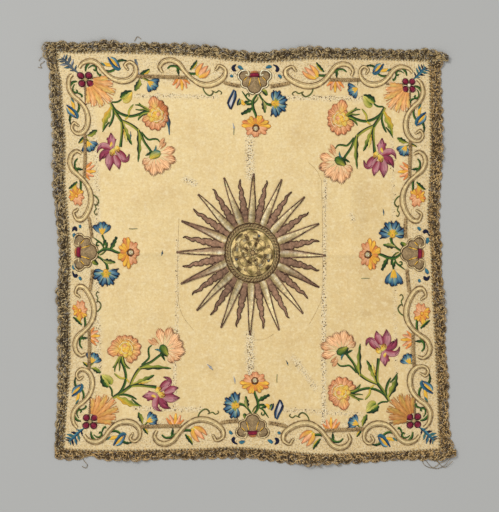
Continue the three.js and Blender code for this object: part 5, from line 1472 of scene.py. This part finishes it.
def make_side_spray(side):
    """The spray under a palmette: stems, a small trumpet, a large blue flower and a marigold."""
    work = Work(seed=81)
    upright = side in ("left", "right")
    drawn_in = {"top": 1.0, "right": 0.88, "bottom": 1.0, "left": 0.66}[side]
    rows = [row for row in SIDE_SPRAY if not (upright and row[0] in BELL_INSTEAD)]
    stitch(work, [(*row[:2], [(x, y * drawn_in if y < 0 else y, half) for x, y, half in row[2]])
                  if row[0].startswith("comma") else row for row in rows])
    if upright:
        x, y, reach, spread = {"left": (-20.3, 25.4, 15.5, 46), "right": (-16.6, 29.0, 20.0, 32)}[side]
        bell(work, x, y, 180, reach, spread)
        blade(work, "stem_dark", 0.3, ((-6.0, 30.5, 0.9), (x * 0.6, (y + 32.0) / 2, 1.1), (x + 0.5, y, 1.3)))
    centre = (25.6, 30.4)
    for k, angle in enumerate(np.linspace(-98, 98, 13)):
        shade = "blue_pale" if k in (1, 4, 7, 10) else "blue_petal"
        petal(work, shade, 0.3 + 0.12 * (k % 2), centre, angle, 2, 15.0 + 1.6 * (k % 3), 2.9, 1.6, teeth=1.1,
              columns=9,
              sharp=0.6)
        if k % 2 == 0:
            blade(work, "comma_navy", 0.75, spoke(centre, np.radians(angle + 6), ((7.5, 0.3), (12.0, 0.7),
                (17.6, 0.8))))
    for angle in (-70, -45, -20, 5, 30, 55, 80):
        petal(work, "petal_yellow" if angle in (-20, 5, 30) else "leaf_gold", 0.75, centre, angle, 1, 7.6, 1.3, 1.2,
              step=1.4)
    disc(work, centre, 3.8, 0.8, 0.7, "yellow", "gold")
    disc(work, centre, 1.2, 1.3, 0.4, "orange", "rust", steps=8)
    marigold(work, 1.9, 60.5, 0.0, 19.5, 0.74)
    disc(work, (1.6, 63.6), 5.4, 0.6, 0.8, "rust", "brown")
    disc(work, (1.6, 63.6), 3.5, 1.0, 0.8, "cream", "olive")
    for x, y in ((0.4, 62.6), (3.0, 63.0), (1.2, 65.4)):
        disc(work, (x, y), 1.3, 1.7, 0.5, "white", "olive", steps=8)
    place, (slide, lift) = palmette_place(side), SIDE_SHIFTS[side]
    spray = work.laid(lambda along, inward: place(along + slide, inward + lift))
    make_mesh(f"side_spray_{side}", [spray], "floss", "peach_silk")


# Half sides that go without the leaves at the knot of the scrolls, and the one that has the faded leaf
NO_KNOT_LEAVES = (("top", 1), ("right", -1))
FADED_LEAF = ("top", -1)
# Where the blue bell of a half side sits, along and deep, if it isn't at BELL_AT
BELL_AT = (134.0, 37.0)
BELLS_MOVED = {("left", -1): (132.0, 34.0), ("left", 1): (134.0, 34.0), ("right", -1): (137.0, 36.0),
               ("top", 1): (131.0, 42.0)}
# The tulip of the top and bottom borders. Columns: shade, spine rows
TULIP = (
    ("tulip", ((73.5, 27.0, 1.4), (71.5, 19.5, 3.2), (67.5, 12.6, 2.2), (64.0, 9.4, 0.5))),
    ("tulip", ((71.0, 29.0, 1.4), (64.5, 26.4, 3.4), (59.0, 22.0, 2.4), (55.6, 17.4, 0.5))),
    ("rose_outer", ((71.6, 27.4, 1.4), (66.6, 21.6, 3.0), (62.4, 16.6, 2.6), (58.4, 12.4, 0.6))),
    ("bud_yellow", ((72.6, 28.0, 1.6), (69.4, 24.8, 1.9), (66.6, 22.0, 0.5))),
)


def make_border_flowers(side):
    """The flowers that wind through the scrolls of one side, both halves."""
    parts = []
    for hand in (-1, 1):
        work = Work(seed=91, handed=-1)
        rows = [row for row in BORDER_FLOWERS if row[0] != "leaf_faded" or (side, hand) == FADED_LEAF]
        if (side, hand) in NO_KNOT_LEAVES:
            rows = [row for row in rows
                    if not (row[0].startswith("leaf") and 129 < row[2][0][0] < 147 and row[2][0][1] > 25)]
        if side in ("left", "right"):
            rows = [(*row[:2], [(x - 1, y - 2.6, half) for x, y, half in row[2]]) if row[0] == "tendril" else row
                    for row in rows]
        stitch(work, rows)
        centre = BELLS_MOVED.get((side, hand), BELL_AT)
        blue = Work(seed=92, handed=-1)
        bell(blue, *centre, np.degrees(np.arctan2(10.8, -13.2)) + (14 if (side, hand) != FADED_LEAF else 0), 14.0, 48)
        parts.append(blue.laid(lambda along, deep, at=centre: beside(side, hand, along, deep, at)))
        if side in ("top", "bottom"):
            for shade, rows in TULIP:
                blade(work, shade, 0.5, rows, teeth=0.9, sharp=0.9)
        else:
            marigold(work, 64, 17.0, 60.0, 12.5)
            disc(work, (64, 17.0), 2.4, 0.8, 0.6, "yellow", "orange", steps=10)
        parts.append(laid_half(work, side, hand))
    make_mesh(f"border_flowers_{side}", parts, "floss", "peach_silk")


# Stray stitches that lie on the open ground. Columns: shade, x0, y0, x1, y1, half width
STRAYS = (
    ("stray", -107, 188, -103.6, 154, 2.2), ("stray", -155, 159, -155, 148, 0.8), ("stray_grey", -20, 170, -18, 158,
        1.0),
    ("stray_grey", -19, -164, -17, -174, 1.0), ("stray_grey", -54, -148, -46, -156, 1.5),
    ("stray", 50, -143, 53, -150, 0.8),
    ("stray", 178, 57, 179, 48, 0.9), ("stray", -113, 2, -114, -5, 1.1),
)
# Threads that hold the patch behind the sun. Columns: x, y, along each line
SEAMS = (
    ((-91, 44), (-92.5, 0), (-92, -60), (-86, -84), (-72, -103)), ((97, 94), (98.5, 20), (97.4, -54), (92, -74),
                                                                   (81, -95)),
    ((9, -116), (22, -115), (34, -108)), ((97, 94), (90, 108), (80, 118)),
)
# Loose threads past the edge. Columns: x, y
FRAYS = (
    ((-268, 252), (-274, 247), (-272, 243), (-277, 244)), ((-262, 258), (-272, 257), (-276, 252)),
    ((-220, -268), (-216, -276), (-212, -281), (-214, -285), (-219, -283)), ((86, -270), (90, -280), (88, -284)),
    ((95, -270), (93, -282), (98, -284)), ((228, -266), (232, -280), (243, -285), (252, -279), (246, -271)),
    ((238, -264), (252, -278), (264, -272), (266, -262), (259, -258)), ((244, -268), (258, -284), (270, -276)),
    ((232, -272), (244, -285), (256, -284), (264, -276), (270, -266)), ((236, -262), (246, -276), (258, -268),
        (254, -260)),
    ((112, -272), (118, -282), (124, -281)), ((-150, 278), (-146, 284), (-141, 281)),
)


def make_mending():
    """Stray stitches, the thin threads of the patch seam, and the loose ends at the corners."""
    work = Work(seed=97)
    for shade, x0, y0, x1, y1, half in STRAYS:
        middle = ((x0 + x1) / 2 + 0.5, (y0 + y1) / 2, half)
        blade(work, shade, 0.15, ((x0, y0, 0.3), middle, (x1, y1, 0.25)), frill=0.3, frills=2.2)
    for points in SEAMS:
        path = spine_of(np.c_[np.array(points, float), np.ones(len(points))], 3.0)[0]
        cord(work, path, 0.17, -0.02, "seam", 4, 0.8, "outline")
    for x0, y0, x1, y1, half, strength in WORN:
        for share, away, lean, pick in work.rng.uniform(-1, 1, (int(np.hypot(x1 - x0, y1 - y0) * strength / 1.4), 4)):
            middle = np.array([mix(x0, x1, 0.5 + share / 2),
                               mix(y0, y1, 0.5 + share / 2)]) + 0.6 * half * np.array([away, lean])
            run = 1.2 * np.array([np.cos(3 * pick), np.sin(3 * pick)])
            blade(work, "plume_cream" if pick > -0.5 else "brown_line", 0.05,
                  ((*(middle - run), 0.2), (*middle, 0.44), (*(middle + run), 0.2)), dome=0.2, columns=5)
    make_mesh("mending_stitches", [work.laid(unlay)], "floss", "peach_silk")
    loose = Work(seed=98)
    for points in FRAYS:
        path = spine_of(np.c_[np.array(points, float), np.ones(len(points))], 1.2)[0]
        up = ridges(path[:, 0], path[:, 1], FOLDS) * 0.6
        cord(loose, np.c_[path, up], 0.36, 0.1, "lace_mid", 4, 1.0, "lace_dark")
    make_mesh("loose_threads", [loose.free()], "lace", "lace")


# ---------------------------------------------------------------- the studio


# The point of the table under the camera, in metres
CAMERA_OVER = (0.00073, -0.00408)


def make_stage():
    """The floor, soft lights and the camera straight above."""
    sizes, colours = bpy.context.scene.veil_sizes, bpy.context.scene.veil_colours
    scene = bpy.context.scene
    half = 4.0
    mesh = bpy.data.meshes.new("studio_floor")
    mesh.from_pydata([(-half, -half, -0.0004), (half, -half, -0.0004), (half, half, -0.0004), (-half, half, -0.0004)],
                     [], [(0, 1, 2, 3)])
    mesh.materials.append(floor_material(colours.floor))
    floor = bpy.data.objects.new("studio_floor", mesh)
    scene.collection.objects.link(floor)
    for name, place, size, power in (
        ("key_light", (-2.1, 2.1, 3.1), 1.7, sizes.key_power),
        ("fill_light", (1.5, -1.9, 2.6), 2.0, sizes.fill_power),
    ):
        light = bpy.data.lights.new(name, "AREA")
        light.shape = "DISK"
        light.size = size
        light.energy = power
        lamp = bpy.data.objects.new(name, light)
        lamp.location = place
        aim = -np.array(place)
        lamp.rotation_mode = "QUATERNION"
        lamp.rotation_quaternion = Vector(aim).to_track_quat("-Z", "Y")
        scene.collection.objects.link(lamp)
    world = bpy.data.worlds.new("studio")
    world.use_nodes = True
    back = world.node_tree.nodes["Background"]
    back.inputs["Color"].default_value = (1.0, 1.0, 1.0, 1.0)
    back.inputs["Strength"].default_value = sizes.ambient
    scene.world = world
    scene.view_settings.view_transform = "Standard"
    camera = bpy.data.cameras.new("photograph_view")
    camera.sensor_width = 36.0
    camera.lens = 36.0 * sizes.camera_height / sizes.view_height
    camera.clip_end = 50.0
    viewer = bpy.data.objects.new("photograph_view", camera)
    viewer.location = (*CAMERA_OVER, sizes.camera_height)
    scene.collection.objects.link(viewer)
    scene.camera = viewer


# ---------------------------------------------------------------- the add-on


class VeilSizes(bpy.types.PropertyGroup):
    """Sizes that a user would change. Millimetres unless the name says otherwise."""

    silk_thickness: FloatProperty(name="Silk thickness", description="Silk with its backing, in mm", default=1.2,
                                  min=0.5)
    ripple: FloatProperty(name="Ripple", description="Height of the cloth's faint unevenness, in mm", default=1.3,
                          min=0)
    scallop: FloatProperty(name="Scallop", description="Width of one scallop of the lace, in mm", default=12.6, min=6)
    camera_height: FloatProperty(name="Camera height", description="Camera over the table", default=2.5,
                                 unit="LENGTH")
    view_height: FloatProperty(name="View height", description="Table seen from top to bottom", default=0.67584,
                               unit="LENGTH")
    key_power: FloatProperty(name="Key light", description="Power of the light at upper left, in watts", default=92.0)
    fill_power: FloatProperty(name="Fill light", description="Power of the light at the right, in watts",
                              default=20.5)
    ambient: FloatProperty(name="Ambient", description="Strength of the surrounding light", default=0.505)


class VeilColours(bpy.types.PropertyGroup):
    """Colours that a user would change."""

    floor: FloatVectorProperty(name="Floor", description="Colour of the studio floor", subtype="COLOR", size=3,
                               default=(0.462, 0.462, 0.447), min=0, max=1)


class VEIL_OT_silk(bpy.types.Operator):
    bl_idname = "veil.silk"
    bl_label = "Silk and Lace"

    def execute(self, context):
        silk = make_silk()
        laces = [make_lace(side) for side in OUTWARD]
        return {"FINISHED"}


class VEIL_OT_sun(bpy.types.Operator):
    """Make the sun, its medallion and the rope round it"""

    bl_idname = "veil.sun"
    bl_label = "Sun"

    def execute(self, context):
        make_sun()
        make_medallion()
        return {"FINISHED"}


class VEIL_OT_border(bpy.types.Operator):
    """Make the scrolls, braids and palmettes of the four sides"""

    bl_idname = "veil.border"
    bl_label = "Scroll Border"

    def execute(self, context):
        for side in OUTWARD:
            make_scrolls(side)
            make_braids(side)
            make_palmette(side)
        return {"FINISHED"}


class VEIL_OT_corners(bpy.types.Operator):
    """Make the four shells and the flowers at their roots"""

    bl_idname = "veil.corners"
    bl_label = "Corner Shells"

    def execute(self, context):
        for corner in HANDS:
            make_shell(corner)
            make_quatrefoil(corner)
        return {"FINISHED"}


class VEIL_OT_flowers(bpy.types.Operator):
    """Make the flat embroidery: corner sprays, side sprays and border flowers"""

    bl_idname = "veil.flowers"
    bl_label = "Flowers"

    def execute(self, context):
        for corner in HANDS:
            make_corner_spray(corner)
        for side in OUTWARD:
            make_side_spray(side)
            make_border_flowers(side)
        return {"FINISHED"}


class VEIL_OT_mending(bpy.types.Operator):
    """Make the stray stitches, patch seams and loose threads"""

    bl_idname = "veil.mending"
    bl_label = "Mending"

    def execute(self, context):
        make_mending()
        return {"FINISHED"}


class VEIL_OT_stage(bpy.types.Operator):
    """Make the floor, the lights and the camera"""

    bl_idname = "veil.stage"
    bl_label = "Studio"

    def execute(self, context):
        make_stage()
        return {"FINISHED"}


STEPS = (VEIL_OT_silk, VEIL_OT_sun, VEIL_OT_border, VEIL_OT_corners, VEIL_OT_flowers, VEIL_OT_mending, VEIL_OT_stage)


class VEIL_PT_panel(bpy.types.Panel):
    """The veil's steps, in order"""

    bl_idname = "VEIL_PT_panel"
    bl_label = "Chalice Veil"
    bl_space_type = "VIEW_3D"
    bl_region_type = "UI"
    bl_category = "Veil"

    def draw(self, context):
        for group in (context.scene.veil_sizes, context.scene.veil_colours):
            for name in group.__annotations__:
                self.layout.prop(group, name)
        for step in STEPS:
            self.layout.operator(step.bl_idname)


CLASSES = (VeilSizes, VeilColours, *STEPS, VEIL_PT_panel)


def register():
    for cls in CLASSES:
        bpy.utils.register_class(cls)
    bpy.types.Scene.veil_sizes = PointerProperty(type=VeilSizes)
    bpy.types.Scene.veil_colours = PointerProperty(type=VeilColours)


def unregister():
    del bpy.types.Scene.veil_colours
    del bpy.types.Scene.veil_sizes
    for cls in reversed(CLASSES):
        bpy.utils.unregister_class(cls)


def main():
    register()
    bpy.ops.veil.silk()
    bpy.ops.veil.sun()
    bpy.ops.veil.border()
    bpy.ops.veil.corners()
    bpy.ops.veil.flowers()
    bpy.ops.veil.mending()
    bpy.ops.veil.stage()


if __name__ == "__main__":
    main()
